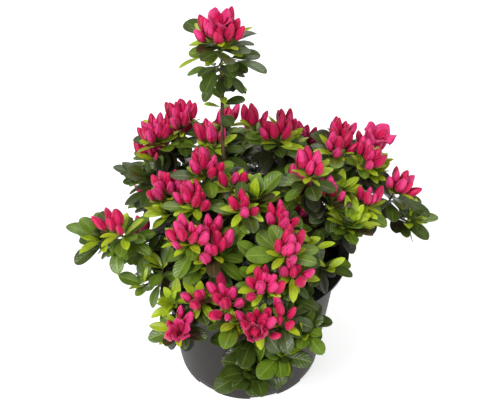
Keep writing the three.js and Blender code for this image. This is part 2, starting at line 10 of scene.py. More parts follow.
import bpy
import numpy as np
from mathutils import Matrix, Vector


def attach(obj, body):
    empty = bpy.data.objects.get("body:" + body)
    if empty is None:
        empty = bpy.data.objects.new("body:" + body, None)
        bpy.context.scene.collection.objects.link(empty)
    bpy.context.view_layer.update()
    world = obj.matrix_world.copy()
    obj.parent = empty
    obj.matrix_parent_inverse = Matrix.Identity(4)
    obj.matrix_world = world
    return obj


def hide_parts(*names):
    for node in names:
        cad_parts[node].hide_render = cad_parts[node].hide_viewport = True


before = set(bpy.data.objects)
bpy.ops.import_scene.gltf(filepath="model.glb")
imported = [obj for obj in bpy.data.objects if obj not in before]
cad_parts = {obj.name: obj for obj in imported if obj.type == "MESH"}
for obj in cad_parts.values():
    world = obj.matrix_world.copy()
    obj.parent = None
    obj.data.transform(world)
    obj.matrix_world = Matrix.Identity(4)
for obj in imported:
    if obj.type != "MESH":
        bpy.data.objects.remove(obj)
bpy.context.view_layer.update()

MM = 0.001
UP = np.array([0.0, 0.0, 1.0])
WAVE = 6.28  # a whole wave, in radians

# Pot and soil
POT_HEIGHT = 130
POT_BASE_RADIUS = 65
POT_SHOULDER_RADIUS = 77
POT_RIM_RADIUS = 85
POT_RIM_THICKNESS = 3
POT_WALL = 1.8
POT_FLOOR = 5
POT_FOOT_BEVEL = 1.2
POT_SIDES = 160
NOTCH_COUNT = 8
NOTCH_WIDTH = 25
NOTCH_HEIGHT = 3.5
NOTCH_DEPTH = 3.5
NOTCH_TURN = 12
SOIL_TOP = 115
SOIL_DEPTH = 12
SOIL_RELIEF = 2
SOIL_ROWS = 70
SOIL_SIDES = 220
CRUMB_COUNT = 1500
CRUMB_SEED = 77
PERLITE_EVERY = 19
CLEAR = 0.3

# Trunk and boughs
TRUNK_FOOT = np.array([0.0, 0.0, SOIL_TOP + CLEAR])
TRUNK_TIP = np.array([-2.0, 2.0, 151.0])
TRUNK_RADIUS = 6.6
TRUNK_TOP_RADIUS = 5.2
TRUNK_ROWS = 70
TRUNK_SIDES = 60
FLARE_RADIUS = 4.2
FLARE_FADE = 4
FLARE_LOBES = 5
LOBE_DEPTH = 0.3
TIER_HEIGHTS = [122, 129, 136, 143]
TIER_MIN_ANGLE = 44
SPREADING_PASSES = 60
BOUGH_RADIUS = 2.1
TWIG_RADIUS = 1.2
THINNING = 0.7
MIN_OUTWARD = 16
OUTWARD_SHARE = 0.36
OUTWARD_RISE = 0.45
ARCH_CLIMB = 8
RIM_PASS_HEIGHT = 160
RIM_PASS_REACH = 84
TALL_ELBOW = 205
ELBOW_REACH = {"arching": 0.78, "hanging": 0.9, "tall": 1.3}
PATH_STEPS = 200

# Shoots
MASS_SEED = 11
SHOOT_SEED = 1000
STEM_SEED = 500
FINE_SEED = 5000
CROWN_ROOT = np.array([0.0, 0.0, 40.0])
FORK_DEPTH = 17
LONE_FORK_DEPTH = 25
SHOOT_SPACING = 3
SHOOT_TURN_PLAY = 8
SHOOT_REACH_PLAY = 0.15
SHOOT_DEPTH_PLAY = 3
LEAFY_DROP = 5
SPACE_REACH = 24
ENTRY_REACH = 14
ENTRY_MIN_SPREAD = 12
ENTRY_STEP = 0.02
ENTRY_LIMIT = 0.2
WHORL_LIFT = 0.45

# Leaves
LEAF_LENGTH = 31
LEAVES_ON_FLOWER_SHOOT = 5
LEAVES_ON_LEAF_SHOOT = 7
LEAVES_ON_LONE_SHOOT = 15
LEAF_SPACING = 2.3
LONE_LEAF_SPACING = 1.7
FLOWER_ROOM = 2
LOWEST_LEAF = 0.15  # share of the twig's length
TOP_TILT = {"flowers": 60, "leaves": 30}
FOOT_TILT = 102
LONE_FOOT_TILT = 136
GOLDEN_ANGLE = 137.5
LEAF_TURN_PLAY = 15
LEAF_SIZE_PLAY = 0.15
LEAF_FACE_UP = 1.6
LEAF_GAP = 2.4
LONE_LEAF_GAP = 1.3
LEAF_TRIES = 6
TRIES_IN_PLACE = 3  # before the leaf is turned on round its stem
TRY_TILT = 13
TRY_SHRINK = 0.07
TURNED_TILT = 6
TURNED_ON = 24
HANG_HEIGHT = 67  # no leaf hangs lower, and beyond HANG_REACH this rises with the reach
HANG_REACH = 105
STEM_START, STEM_END = 0.4, 0.98  # leaves along a bough, as shares of its path
LONE_STEM_START, LONE_STEM_END = 0.78, 0.95
STEM_LEAF_SPACING = 4.5
LEAVES_ON_LONE_STEM = 9
SIDE_VEINS = 8
VEIN_SLANT = 2.2

# Young leaves at a shoot's tip: how many, lean of the first and of the last, size, how far
# below the tip they start, gaps to other leaves and to buds, how many of a leaf's test
# points may come nearer to other leaves
TIP_LEAVES = {
    "flowers": (8, 36, 76, 1, 4, LEAF_GAP, 2.9, 3),
    "leaves": (12, 12, 62, 1, 4, LEAF_GAP, 2.9, 3),
    "tuft": (24, 12, 62, 1.2, 4, LONE_LEAF_GAP, 2.9, 3),
    "lone": (22, 26, 104, 1.25, 9, LONE_LEAF_GAP, 2.2, 5),
}
FEW_TIP_LEAVES = 3  # where the leaves are old or sparse

# Buds
BUD_FAN = 64
BUD_LEAN = 0.8
BUD_LIFT = 0.9
BUDS_IN_CLUSTER = 3
BUD_OFFSET = 3.6
CLUSTER_REACH = (4.5, 9.5)
FIRST_BUD_LENGTH = (14.5, 18)
BUD_LENGTH = (11.5, 16)
BUD_RADIUS = (0.2, 0.245)  # as a share of the length
BUD_GAP = 5.5
BUD_TO_LEAF_GAP = 3.4
BUD_TO_POT_GAP = 3

# One row for each mass: name, azimuth, reach and height of its middle, flowering shoots,
# leafy shoots, their distance from the middle, turn of the first one, how much further out
# the first stands than the last, tier of the bough, size of its leaves
MASS_ROWS = [
    ("crown_top", -95, 20, 315, 1, 0, 0, 0, 0, 4, 1.2),
    ("high_left", -130, 85, 200, 3, 1, 15, 225, -15, 3, 1.0),
    ("upper_left", -65, 50, 200, 3, 1, 20, 225, -5, 4, 1.0),
    ("inner_left", -150, 45, 210, 2, 1, 15, 225, 5, 4, 0.9),
    ("high_middle", 155, 45, 210, 3, 1, 15, 135, 0, 4, 1.0),
    ("inner_middle", -15, 35, 205, 2, 1, 15, 300, 5, 4, 1.0),
    ("inner_right", 70, 45, 195, 3, 1, 5, 300, -50, 4, 1.0),
    ("high_right", 110, 90, 200, 4, 1, 20, 195, 5, 3, 1.0),
    ("right", 75, 80, 185, 2, 2, 15, 120, 0, 3, 1.0),
    ("far_right", 100, 130, 160, 1, 1, 20, 120, 0, 2, 1.0),
    ("far_left", -65, 100, 175, 2, 1, 15, 195, -45, 3, 0.9),
    ("left_edge", -50, 100, 155, 0, 2, 10, 345, 0, 2, 0.7),
    ("front_left", -25, 75, 190, 3, 1, 10, 210, 20, 3, 1.0),
    ("front_right", 20, 70, 190, 2, 1, 15, 255, 10, 4, 1.0),
    ("front_middle", 10, 90, 175, 1, 1, 15, 0, 0, 3, 0.9),
    ("front", 0, 100, 160, 3, 1, 15, 165, -10, 2, 0.9),
    ("low_left", -25, 105, 145, 2, 1, 15, 75, 0, 1, 0.8),
    ("low_front", 5, 110, 115, 0, 3, 15, 270, 0, 1, 1.1),
    ("low_right", 20, 105, 150, 1, 2, 15, 195, 0, 2, 0.9),
    ("right_edge", 40, 85, 175, 0, 2, 10, 195, 0, 2, 0.9),
    ("back_right", 140, 100, 165, 2, 1, 20, 60, 0, 2, 1.0),
    ("back_middle", -170, 90, 170, 2, 1, 20, 15, 0, 2, 1.0),
    ("back_left", -115, 100, 170, 1, 2, 20, 150, 0, 2, 1.0),
    ("low_back_right", 130, 110, 125, 1, 2, 20, 30, 0, 1, 1.0),
    ("low_back_left", -135, 110, 125, 1, 2, 20, 30, 0, 1, 1.0),
    ("low_back", 175, 110, 125, 1, 2, 20, 90, 0, 1, 1.0),
]
OLD_MASSES = ["right_edge", "low_front", "low_right", "crown_top", "back_left"]  # darker leaves
FRESH_MASSES = ["far_left", "front_left", "left_edge"]  # lighter leaves
SPARSE_MASSES = ["right_edge", "left_edge"]  # one leaf in each spray
TUFTED_MASSES = ["high_right", "right", "inner_middle"]  # tall lime tufts on leafy shoots
# Clusters of buds in each truss, where they aren't 3
TRUSS_CLUSTERS = {
    "crown_top": 7, "high_left": 7, "upper_left": 4, "front": 4, "far_right": 4,
    "inner_left": 2, "inner_middle": 2, "front_middle": 2, "low_left": 2, "low_right": 2,
    "far_left": 2, "right": 2, "inner_right": 2,
}
# Flowers that are opening: mass and shoot, cluster and bud, how far the flower flares and its
# size as a share of the bud's
OPEN_FLOWERS = {
    ("crown_top", 0): {(3, 0): (0.2, 1.2)},
    ("high_right", 1): {(0, 0): (0.34, 1.35)},
    ("low_left", 1): {(0, 0): (0.14, 1.3)},
    ("front", 1): {(0, 0): (0.02, 1.5)},
    ("back_left", 0): {(2, 0): (0.2, 1.2)},
    ("back_right", 1): {(2, 0): (0.3, 1.2)},
    ("low_back", 0): {(2, 0): (0.2, 1.2)},
}
GROUPS = {"upper": range(0, 9), "front": range(9, 20), "back": range(20, 26)}

# The camera of the photograph
CAMERA_DISTANCE = 600
CAMERA_ELEVATION = 39.3
CAMERA_AIM = (1.0, 0.0, 177.0)
CAMERA_LENS = 53.4
STAGE_REACH = 4  # metres


# Numbers and vectors

class Dice:
    """A seeded run of numbers, the same each time and the same as for the solids."""

    PRIME = 2147483647
    FACTOR = 48271
    SEED_FACTOR = 7919

    def __init__(self, seed):
        self.state = (seed * self.SEED_FACTOR) % self.PRIME
        self.roll()
        self.roll()

    def roll(self):
        self.state = (self.state * self.FACTOR) % self.PRIME
        return self.state / self.PRIME

    def between(self, low, high):
        return low + (high - low) * self.roll()

    def play(self, reach):
        return self.between(-reach, reach)


def sine(degrees):
    return math.sin(math.radians(degrees))


def cosine(degrees):
    return math.cos(math.radians(degrees))


def unit(vector):
    return vector / np.linalg.norm(vector)


def mix(a, b, share):
    return a + (b - a) * share


def on_crown(azimuth, reach, height):
    return np.array([reach * sine(azimuth), -reach * cosine(azimuth), height])


def toward(first, second, degrees):
    """The direction at an angle from a first unit vector towards a second one."""
    return first * cosine(degrees) + second * sine(degrees)


def sides_of(axis):
    """Two unit vectors across an axis that isn't upright, the first of them level."""
    first = unit(np.cross(UP, axis))
    return first, np.cross(axis, first)


def frame_on(direction):
    """Two unit vectors across any direction."""
    first = np.cross(direction, UP)
    if np.linalg.norm(first) < 0.05:
        first = np.array([1.0, 0, 0])
    first = unit(first)
    return first, np.cross(direction, first)


def turned_about(vector, axis, angle):
    """The vector turned about a unit axis, in radians."""
    along = axis * (vector @ axis)
    across = vector - along
    return along + across * math.cos(angle) + np.cross(axis, across) * math.sin(angle)


def ripple(points, scale, seed):
    """A smooth bumpy value, about -1 to 1, at each point: four octaves of three waves."""
    dice = Dice(seed)
    total = np.zeros(points.shape[:-1])
    for octave in range(4):
        for _ in range(3):
            way = np.array([dice.play(1), dice.play(1), dice.play(1)])
            phase = dice.between(0, WAVE)
            total += np.sin(points @ way * (2 ** octave) * WAVE / scale + phase) / (1.6 ** octave)
    return total / 5


class Path:
    """A cubic curve from the trunk to a fork, read by its length."""

    def __init__(self, points):
        share = np.linspace(0, 1, PATH_STEPS + 1)[:, None]
        rest = 1 - share
        a, b, c, d = points
        self.points = (a * rest ** 3 + b * 3 * rest ** 2 * share
                       + c * 3 * rest * share ** 2 + d * share ** 3)
        steps = np.linalg.norm(np.diff(self.points, axis=0), axis=1)
        self.reached = np.concatenate([[0], np.cumsum(steps)])
        self.length = self.reached[-1]

    def at(self, along):
        target = np.clip(along, 0, 1) * self.length
        return np.array([np.interp(target, self.reached, self.points[:, k]) for k in range(3)])

    def line(self, start, end, count):
        return np.array([self.at(mix(start, end, i / (count - 1))) for i in range(count)])


# Layout: the same rule and the same seeds as the solids

def lay_out_mass(row, index):
    name, azimuth, reach, height, flowering, leafy, spread, turn, rise, tier, leaf_size = row
    dice = Dice(MASS_SEED + index)
    centre = on_crown(azimuth, reach, height)
    axis = unit(centre - CROWN_ROOT)
    side, up = sides_of(axis)
    shoots = []
    for i in range(flowering + leafy):
        angle = turn + i * 360 / max(flowering, 1)
        if i >= flowering:
            angle = turn + min(90, 180 / max(flowering, 1)) + (i - flowering) * 360 / leafy
        angle += dice.play(SHOOT_TURN_PLAY)
        out = spread * dice.between(1 - SHOOT_REACH_PLAY, 1 + SHOOT_REACH_PLAY)
        tip = centre + side * cosine(angle) * out + up * sine(angle) * out
        order = 0.5 - min(i / (flowering - 1), 1) if flowering > 1 else 0
        drop = 0 if i < flowering else LEAFY_DROP
        tip = tip + axis * (order * rise + dice.play(SHOOT_DEPTH_PLAY) - drop)
        axis_here = unit(tip - CROWN_ROOT)
        shoots.append({
            "tip": tip, "axis": axis_here, "whorl": unit(axis_here + UP * WHORL_LIFT),
            "mass": name, "flowers": i < flowering, "leaf_size": leaf_size,
            "old": name in OLD_MASSES, "fresh": name in FRESH_MASSES,
            "sparse": name in SPARSE_MASSES, "lone": spread == 0,
            "tufted": name in TUFTED_MASSES and i >= flowering,
            "dice": Dice(SHOOT_SEED + index * 10 + i), "fine": Dice(FINE_SEED + index * 10 + i),
        })
    depth = LONE_FORK_DEPTH if spread == 0 else FORK_DEPTH
    return {"name": name, "index": index, "azimuth": azimuth, "tier": tier, "spread": spread,
            "lone": spread == 0, "depth": depth, "centre": centre, "fork": centre - axis * depth,
            "shoots": shoots, "space": spread + SPACE_REACH}


def start_angles(masses):
    """Boughs of one tier start round the trunk at least TIER_MIN_ANGLE apart."""
    for tier in range(1, len(TIER_HEIGHTS) + 1):
        ring = sorted((m for m in masses if m["tier"] == tier), key=lambda m: m["azimuth"])
        for mass in ring:
            mass["start"] = mass["azimuth"]
        for _ in range(SPREADING_PASSES):
            for i, mass in enumerate(ring):
                following = ring[(i + 1) % len(ring)]
                turn = 360 if i + 1 == len(ring) else 0
                lack = TIER_MIN_ANGLE - (following["start"] + turn - mass["start"])
                if lack > 0:
                    mass["start"] -= lack / 2
                    following["start"] += lack / 2


def limb_path(mass):
    height = TIER_HEIGHTS[mass["tier"] - 1]
    climbed = (height - TRUNK_FOOT[2]) / (TRUNK_TIP[2] - TRUNK_FOOT[2])
    foot = mix(TRUNK_FOOT, TRUNK_TIP, climbed)
    fork = mass["fork"]
    fork_reach = math.hypot(fork[0], fork[1])
    habit = "tall" if fork[2] > TALL_ELBOW + FORK_DEPTH else "arching"
    elbow_height = min(max(fork[2] - FORK_DEPTH, height + ARCH_CLIMB), TALL_ELBOW)
    if fork_reach > RIM_PASS_REACH and fork[2] < RIM_PASS_HEIGHT:
        habit = "hanging"
        elbow_height = RIM_PASS_HEIGHT + max(POT_HEIGHT - fork[2], 0) / 2
    elbow = on_crown(mass["azimuth"], fork_reach * ELBOW_REACH[habit], elbow_height)
    outward = on_crown(mass["start"], max(fork_reach * OUTWARD_SHARE, MIN_OUTWARD), 0) + foot
    outward[2] = mix(height, elbow_height, OUTWARD_RISE)
    return Path([foot, outward, elbow, fork])


def limb_radius(along):
    return mix(BOUGH_RADIUS, TWIG_RADIUS, along ** THINNING)


def depth_in_space(mass, point):
    """How far a point lies inside a mass's own space."""
    own = np.sum((point - mass["centre"]) ** 2) - mass["space"] ** 2
    depth = math.inf
    for other in masses:
        if other is not mass:
            its = np.sum((point - other["centre"]) ** 2) - other["space"] ** 2
            apart = np.linalg.norm(other["centre"] - mass["centre"])
            depth = min(depth, (its - own) / (2 * apart))
    return depth


def entry_of(mass):
    """Where the bough enters its mass, as a share of its path."""
    reach = max(mass["spread"], ENTRY_MIN_SPREAD) + ENTRY_REACH + mass["depth"] - FORK_DEPTH
    along = 1.0
    while along > ENTRY_LIMIT:
        point = mass["path"].at(along - ENTRY_STEP)
        inside = depth_in_space(mass, point) > limb_radius(along) + CLEAR
        if not inside or np.linalg.norm(point - mass["centre"]) > reach:
            break
        along -= ENTRY_STEP
    return along


masses = [lay_out_mass(row, index) for index, row in enumerate(MASS_ROWS)]
start_angles(masses)
for mass in masses:
    mass["path"] = limb_path(mass)
    mass["entry"] = entry_of(mass)
    for i, shoot in enumerate(mass["shoots"]):
        below = (i * SHOOT_SPACING + TWIG_RADIUS / 2) / mass["path"].length
        shoot["root"] = mass["path"].at(1 - below)
for group, members in GROUPS.items():
    for index in members:
        masses[index]["group"] = group


# Room for leaves and buds

def pot_outer_radius(height):
    return mix(POT_BASE_RADIUS, POT_SHOULDER_RADIUS, height / (POT_HEIGHT - POT_RIM_THICKNESS))


def clear_of_pot(points, margin=1.0):
    """True if no point lies in the pot or the soil."""
    reach = np.hypot(points[:, 0], points[:, 1])
    height = points[:, 2]
    outer = pot_outer_radius(height)
    inside = reach < outer - POT_WALL - margin
    above_soil = height > SOIL_TOP + SOIL_RELIEF + margin
    under_rim = height < POT_HEIGHT - POT_RIM_THICKNESS - margin
    outside = reach > np.where(under_rim, outer, POT_RIM_RADIUS) + margin
    free = (height > POT_HEIGHT + margin) | (inside & above_soil) | (~inside & outside)
    return bool(free.all())


def too_low(points):
    reach = np.hypot(points[:, 0], points[:, 1])
    return bool((points[:, 2] < HANG_HEIGHT + np.maximum(reach - HANG_REACH, 0)).any())


class Crowd:
    """Points that are taken, so that leaves and buds keep clear of each other."""

    MOST = 60000

    def __init__(self):
        self.points = np.zeros((self.MOST, 3))
        self.count = 0

    def take(self, points):
        self.points[self.count:self.count + len(points)] = points
        self.count += len(points)

    def touched(self, points, reach):
        """How many of the points lie within reach of a taken one."""
        taken = self.points[:self.count]
        low, high = points.min(axis=0) - reach, points.max(axis=0) + reach
        taken = taken[np.all((taken > low) & (taken < high), axis=1)]
        if not len(taken):
            return 0
        gaps = np.linalg.norm(points[:, None] - taken[None], axis=2).min(axis=1)
        return int((gaps < reach).sum())


leaf_crowd, bud_crowd = Crowd(), Crowd()


# Meshes

def put_in_scene(name, data):
    thing = bpy.data.objects.new(name, data)
    bpy.context.scene.collection.objects.link(thing)
    return thing


def grid_quads(rows, columns, wrap=False):
    """Quads between rows of points; wrap closes each row on itself."""
    across = columns if wrap else columns - 1
    row, column = np.meshgrid(np.arange(rows - 1), np.arange(across), indexing="ij")
    row, column = row.ravel(), column.ravel()
    following = (column + 1) % columns
    a = row * columns + column
    b = row * columns + following
    return np.stack([a, b, b + columns, a + columns], axis=1)


def fan(middle, edge, following):
    """Triangles from one point to an edge of points."""
    return np.stack([np.full(len(edge), middle), edge, following], axis=1)


class Sheaf:
    """Vertices and faces gathered from many small pieces, made into one mesh."""

    def __init__(self):
        self.points, self.uvs, self.count = [], [], 0
        self.quads, self.triangles = [], []
        self.quad_kinds, self.triangle_kinds = [], []

    def add(self, points, quads, quad_kinds, triangles=None, triangle_kinds=None, uvs=None):
        self.points.append(points)
        self.uvs.append(np.zeros((len(points), 2)) if uvs is None else uvs)
        self.quads.append(quads + self.count)
        self.quad_kinds.append(np.broadcast_to(quad_kinds, len(quads)))
        if triangles is not None:
            self.triangles.append(triangles + self.count)
            self.triangle_kinds.append(np.broadcast_to(triangle_kinds, len(triangles)))
        self.count += len(points)

    def add_rings(self, rings, ends, kinds, end_kind, uvs=None, downward=False):
        """Rings joined by quads, with a fan to a point at the first end and maybe the last.

        Downward is for rings that run outwards or down, where the faces turn over."""
        rows, sides = len(rings), len(rings[0])
        quads = grid_quads(rows, sides, True)
        ring = np.arange(sides)
        following = (ring + 1) % sides
        count = rows * sides
        last = count - sides
        fans = fan(count, following, ring)
        if len(ends) > 1:
            fans = np.concatenate([fans, fan(count + 1, ring + last, following + last)])
        if downward:
            quads, fans = quads[:, ::-1], fans[:, [0, 2, 1]]
        self.add(np.concatenate([*rings, ends]), quads, kinds, fans, end_kind, uvs)

    def make(self, name, materials, stands_for, slot):
        points = np.concatenate(self.points) * MM
        uvs = np.concatenate(self.uvs)
        quads, triangles = np.concatenate(self.quads), np.concatenate(self.triangles)
        kinds = np.concatenate(self.quad_kinds + self.triangle_kinds)
        corners = np.concatenate([quads.ravel(), triangles.ravel()])
        sizes = np.repeat([4, 3], [len(quads), len(triangles)])
        starts = np.cumsum(sizes) - sizes
        mesh = bpy.data.meshes.new(name)
        mesh.vertices.add(len(points))
        mesh.vertices.foreach_set("co", points.astype(np.float32).ravel())
        mesh.loops.add(len(corners))
        mesh.loops.foreach_set("vertex_index", corners.astype(np.int32))
        mesh.polygons.add(len(sizes))
        mesh.polygons.foreach_set("loop_start", starts.astype(np.int32))
        mesh.polygons.foreach_set("material_index", kinds.astype(np.int32))
        mesh.polygons.foreach_set("use_smooth", np.ones(len(sizes), bool))
        layer = mesh.uv_layers.new(name="UVMap")
        layer.data.foreach_set("uv", uvs[corners].astype(np.float32).ravel())
        mesh.update(calc_edges=True)
        for material in materials:
            mesh.materials.append(material)
        piece = put_in_scene(name, mesh)
        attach(piece, "root")
        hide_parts(*stands_for)
        return piece


def angles_round(sides):
    return np.arange(sides) * 2 * math.pi / sides


def level_ring(radius, height, sides):
    """Points round the Z axis."""
    angles = angles_round(sides)
    return np.stack([radius * np.cos(angles), radius * np.sin(angles), np.full(sides, height)],
                    axis=1)


def round_about(first, second, angles):
    """The directions at some angles in the plane of two unit vectors."""
    return first * np.cos(angles)[..., None] + second * np.sin(angles)[..., None]


def tube(sheaf, line, radii, sides, kind, relief=0.0, seed=1):
    """A round limb along a line of points, with bark relief, closed at both ends."""
    line = np.asarray(line, float)
    tangents = np.gradient(line, axis=0)
    tangents /= np.linalg.norm(tangents, axis=1)[:, None]
    across = np.cross(tangents[0], UP)
    if np.linalg.norm(across) < 0.1:
        across = np.cross(tangents[0], [1.0, 0, 0])
    across = unit(across)
    rings = []
    for centre, tangent, radius in zip(line, tangents, radii):
        across = unit(across - tangent * (across @ tangent))
        ring = round_about(across, np.cross(tangent, across), angles_round(sides))
        if relief:
            furrows = ripple((centre + ring * radius) * [1, 1, 0.35], 3.0, seed)
            ring = ring * (1 + furrows * relief / radius)[:, None]
        rings.append(centre + ring * radius)
    count = len(line) * sides
    uvs = np.zeros((count + 2, 2))
    uvs[:count, 0] = np.tile(np.arange(sides) / sides, len(line))
    uvs[:count, 1] = np.repeat(np.linspace(0, 1, len(line)), sides)
    sheaf.add_rings(rings, [line[0], line[-1]], kind, kind, uvs)


# Materials

def linear(colour):
    """A colour as a screen shows it, 0 to 255, turned into linear light."""
    shares = [channel / 255 for channel in colour]
    return [s / 12.92 if s <= 0.04045 else ((s + 0.055) / 1.055) ** 2.4 for s in shares]


def tone(colour, share, plus=0):
    """A darker or lighter tone of a colour."""
    return [min(max(channel * share + plus, 0), 255) for channel in colour]


class Shader:
    """A material with its principled shader, and short ways to add nodes."""

    def __init__(self, name, roughness, specular=0.5):
        self.material = bpy.data.materials.new(name)
        self.material.use_nodes = True
        self.nodes = self.material.node_tree.nodes
        self.links = self.material.node_tree.links
        self.shader = self.nodes["Principled BSDF"]
        self.place = self.nodes.new("ShaderNodeTexCoord")
        self.own(Roughness=roughness, Specular_IOR_Level=specular)

    def own(self, **values):
        """Values of the shader's own sockets that are the same all over."""
        for name, value in values.items():
            self.shader.inputs[name.replace("_", " ")].default_value = value

    def feed(self, socket, value):
        if isinstance(value, bpy.types.NodeSocket):
            self.links.new(value, socket)
        else:
            socket.default_value = value

    def node(self, kind, **inputs):
        node = self.nodes.new("ShaderNode" + kind)
        for name, value in inputs.items():
            self.feed(node.inputs[name.replace("_", " ")], value)
        return node

    def maths(self, operation, *values):
        node = self.nodes.new("ShaderNodeMath")
        node.operation = operation
        for socket, value in zip(node.inputs, values):
            self.feed(socket, value)
        return node.outputs[0]

    def noise(self, scale, detail=4, stretch=(1, 1, 1)):
        """Noise of that many bumps a metre."""
        mapping = self.node("Mapping", Scale=stretch, Vector=self.place.outputs["Object"])
        noise = self.node("TexNoise", Scale=scale, Detail=detail, Vector=mapping.outputs[0])
        return noise.outputs[0]

    def paint(self, value, *stops):
        """The base colour, as a ramp of colours over a value from 0 to 1."""
        ramp = self.node("ValToRGB", Fac=value)
        elements = ramp.color_ramp.elements
        while len(elements) < len(stops):
            elements.new(0.5)
        for element, (position, colour) in zip(elements, stops):
            element.position = position
            element.color = (*linear(colour), 1)
        self.links.new(ramp.outputs[0], self.shader.inputs["Base Color"])

    def rough(self, value, low, high):
        spread = self.node("MapRange", Value=value, To_Min=low, To_Max=high)
        self.links.new(spread.outputs[0], self.shader.inputs["Roughness"])

    def bump(self, height, depth, strength=1.0):
        """Relief of that depth in metres."""
        bump = self.node("Bump", Height=height, Distance=depth, Strength=strength)
        self.links.new(bump.outputs[0], self.shader.inputs["Normal"])


def mottled(name, colour, spread, scale, roughness, bump_depth, specular=0.5):
    """A colour that wanders a little lighter and darker, with fine relief."""
    shader = Shader(name, roughness, specular)
    noise = shader.noise(scale)
    shader.paint(noise, (0.3, tone(colour, 1 - spread)), (0.7, tone(colour, 1 + spread)))
    shader.bump(shader.noise(scale * 6), bump_depth)
    return shader.material


def leaf_material(name, colour, roughness):
    """A leaf's upper face: side veins pressed in and a waxy sheen."""
    shader = Shader(name, roughness)
    shader.paint(shader.noise(90), (0.3, tone(colour, 0.86)), (0.7, tone(colour, 1.14)))
    place = shader.node("SeparateXYZ", Vector=shader.place.outputs["UV"]).outputs
    across = shader.maths("MULTIPLY_ADD", place[0], 2, -1)
    slant = shader.maths("MULTIPLY", shader.maths("ABSOLUTE", across), VEIN_SLANT)
    wave = shader.maths("SUBTRACT", shader.maths("MULTIPLY", place[1], SIDE_VEINS), slant)
    fold = shader.maths("PINGPONG", wave, 0.5)
    shader.bump(shader.maths("ADD", fold, shader.noise(420, 2)), 0.0005, 0.5)
    return shader.material


def petal_material(name, colour, roughness):
    """A petal: fine streaks along it, a soft sheen."""
    shader = Shader(name, roughness, 0.28)
    noise = shader.noise(260, 3, (1, 1, 0.25))
    shader.paint(noise, (0.3, tone(colour, 0.9)), (0.7, tone(colour, 1.08, 6)))
    shader.bump(shader.noise(700, 2, (1, 1, 0.2)), 0.0002)
    shader.own(Sheen_Weight=0.14, Sheen_Roughness=0.4)
    return shader.material


def bark_material():
    """Furrowed bark, pale on its ridges."""
    shader = Shader("bark", 0.85, 0.3)
    noise = shader.noise(420, 6, (1, 1, 0.3))
    shader.paint(noise, (0.25, (48, 36, 28)), (0.5, (86, 66, 50)), (0.78, (124, 104, 84)))
    shader.bump(noise, 0.0009)
    return shader.material


def moulded(shader, noise, dark, light, least, most, grain):
    """Moulded plastic: lighter and rougher in places, with a fine grain."""
    shader.paint(noise, (0.3, dark), (0.7, light))
    shader.rough(noise, least, most)
    shader.bump(shader.noise(900, 3), grain)
    return shader.material


def pot_materials():
    wall, rim = Shader("pot_plastic", 0.45, 0.24), Shader("pot_rim_plastic", 0.4, 0.3)
    streaks = wall.noise(26, 5, (1, 1, 0.3))
    return [moulded(wall, streaks, (20, 14, 8), (29, 21, 14), 0.42, 0.55, 0.00006),
            moulded(rim, rim.noise(40), (24, 22, 20), (33, 31, 29), 0.32, 0.46, 0.00005)]


LEAF_KINDS = {
    "dark": ((65, 83, 26), (97, 115, 50)),
    "mid": ((99, 127, 32), (131, 155, 60)),
    "young": ((168, 192, 34), (190, 208, 62)),
    "bronze": ((60, 52, 24), (90, 80, 42)),
    # painted shade: a near-black green for leaves inside the crown and at the foot of shoots
    "painted_shade": ((33, 36, 13), (48, 52, 22)),
}
leaf_materials = []
for kind, (blade, line) in LEAF_KINDS.items():
    leaf_materials.append(leaf_material(f"leaf_{kind}", blade, 0.34))
    leaf_materials.append(mottled(f"leaf_{kind}_line", line, 0.08, 120, 0.36, 0.00005))
# the under face: its own green, painted darker as shade inside the crown
leaf_materials.append(mottled("leaf_under_and_shade", (80, 94, 42), 0.1, 120, 0.6, 0.0001))
LEAF_INDEX = {kind: i * 2 for i, kind in enumerate(LEAF_KINDS)}
UNDER_INDEX = len(LEAF_KINDS) * 2

petal_materials = [
    petal_material("petal", (202, 20, 82), 0.42),
    # deep crimson: painted shade at a bud's base and tip and where its petals lap
    petal_material("petal_shade", (134, 0, 34), 0.5),
    # pale pink: the own colour of an open flower's outer petals, and a painted highlight on the
    # upper part of some buds
    petal_material("petal_pale_and_highlight", (224, 52, 122), 0.45),
    mottled("calyx", (104, 104, 44), 0.15, 300, 0.6, 0.0001),
]
PETAL, PETAL_SHADE, PETAL_PALE_AND_HIGHLIGHT, CALYX = range(4)

twig_materials = [
    mottled("twig_brown", (66, 50, 36), 0.2, 300, 0.75, 0.0003),
    mottled("twig_green", (112, 116, 52), 0.15, 300, 0.6, 0.0002),
]
BROWN, GREEN = range(2)

soil_materials = [
    mottled("soil", (46, 35, 27), 0.4, 420, 0.95, 0.0012, 0.15),
    mottled("soil_crumb", (66, 48, 34), 0.35, 600, 0.95, 0.0006, 0.15),
    mottled("perlite", (206, 198, 182), 0.1, 900, 0.9, 0.0004, 0.2),
]
SOIL, CRUMB, PERLITE = range(3)


# Pot

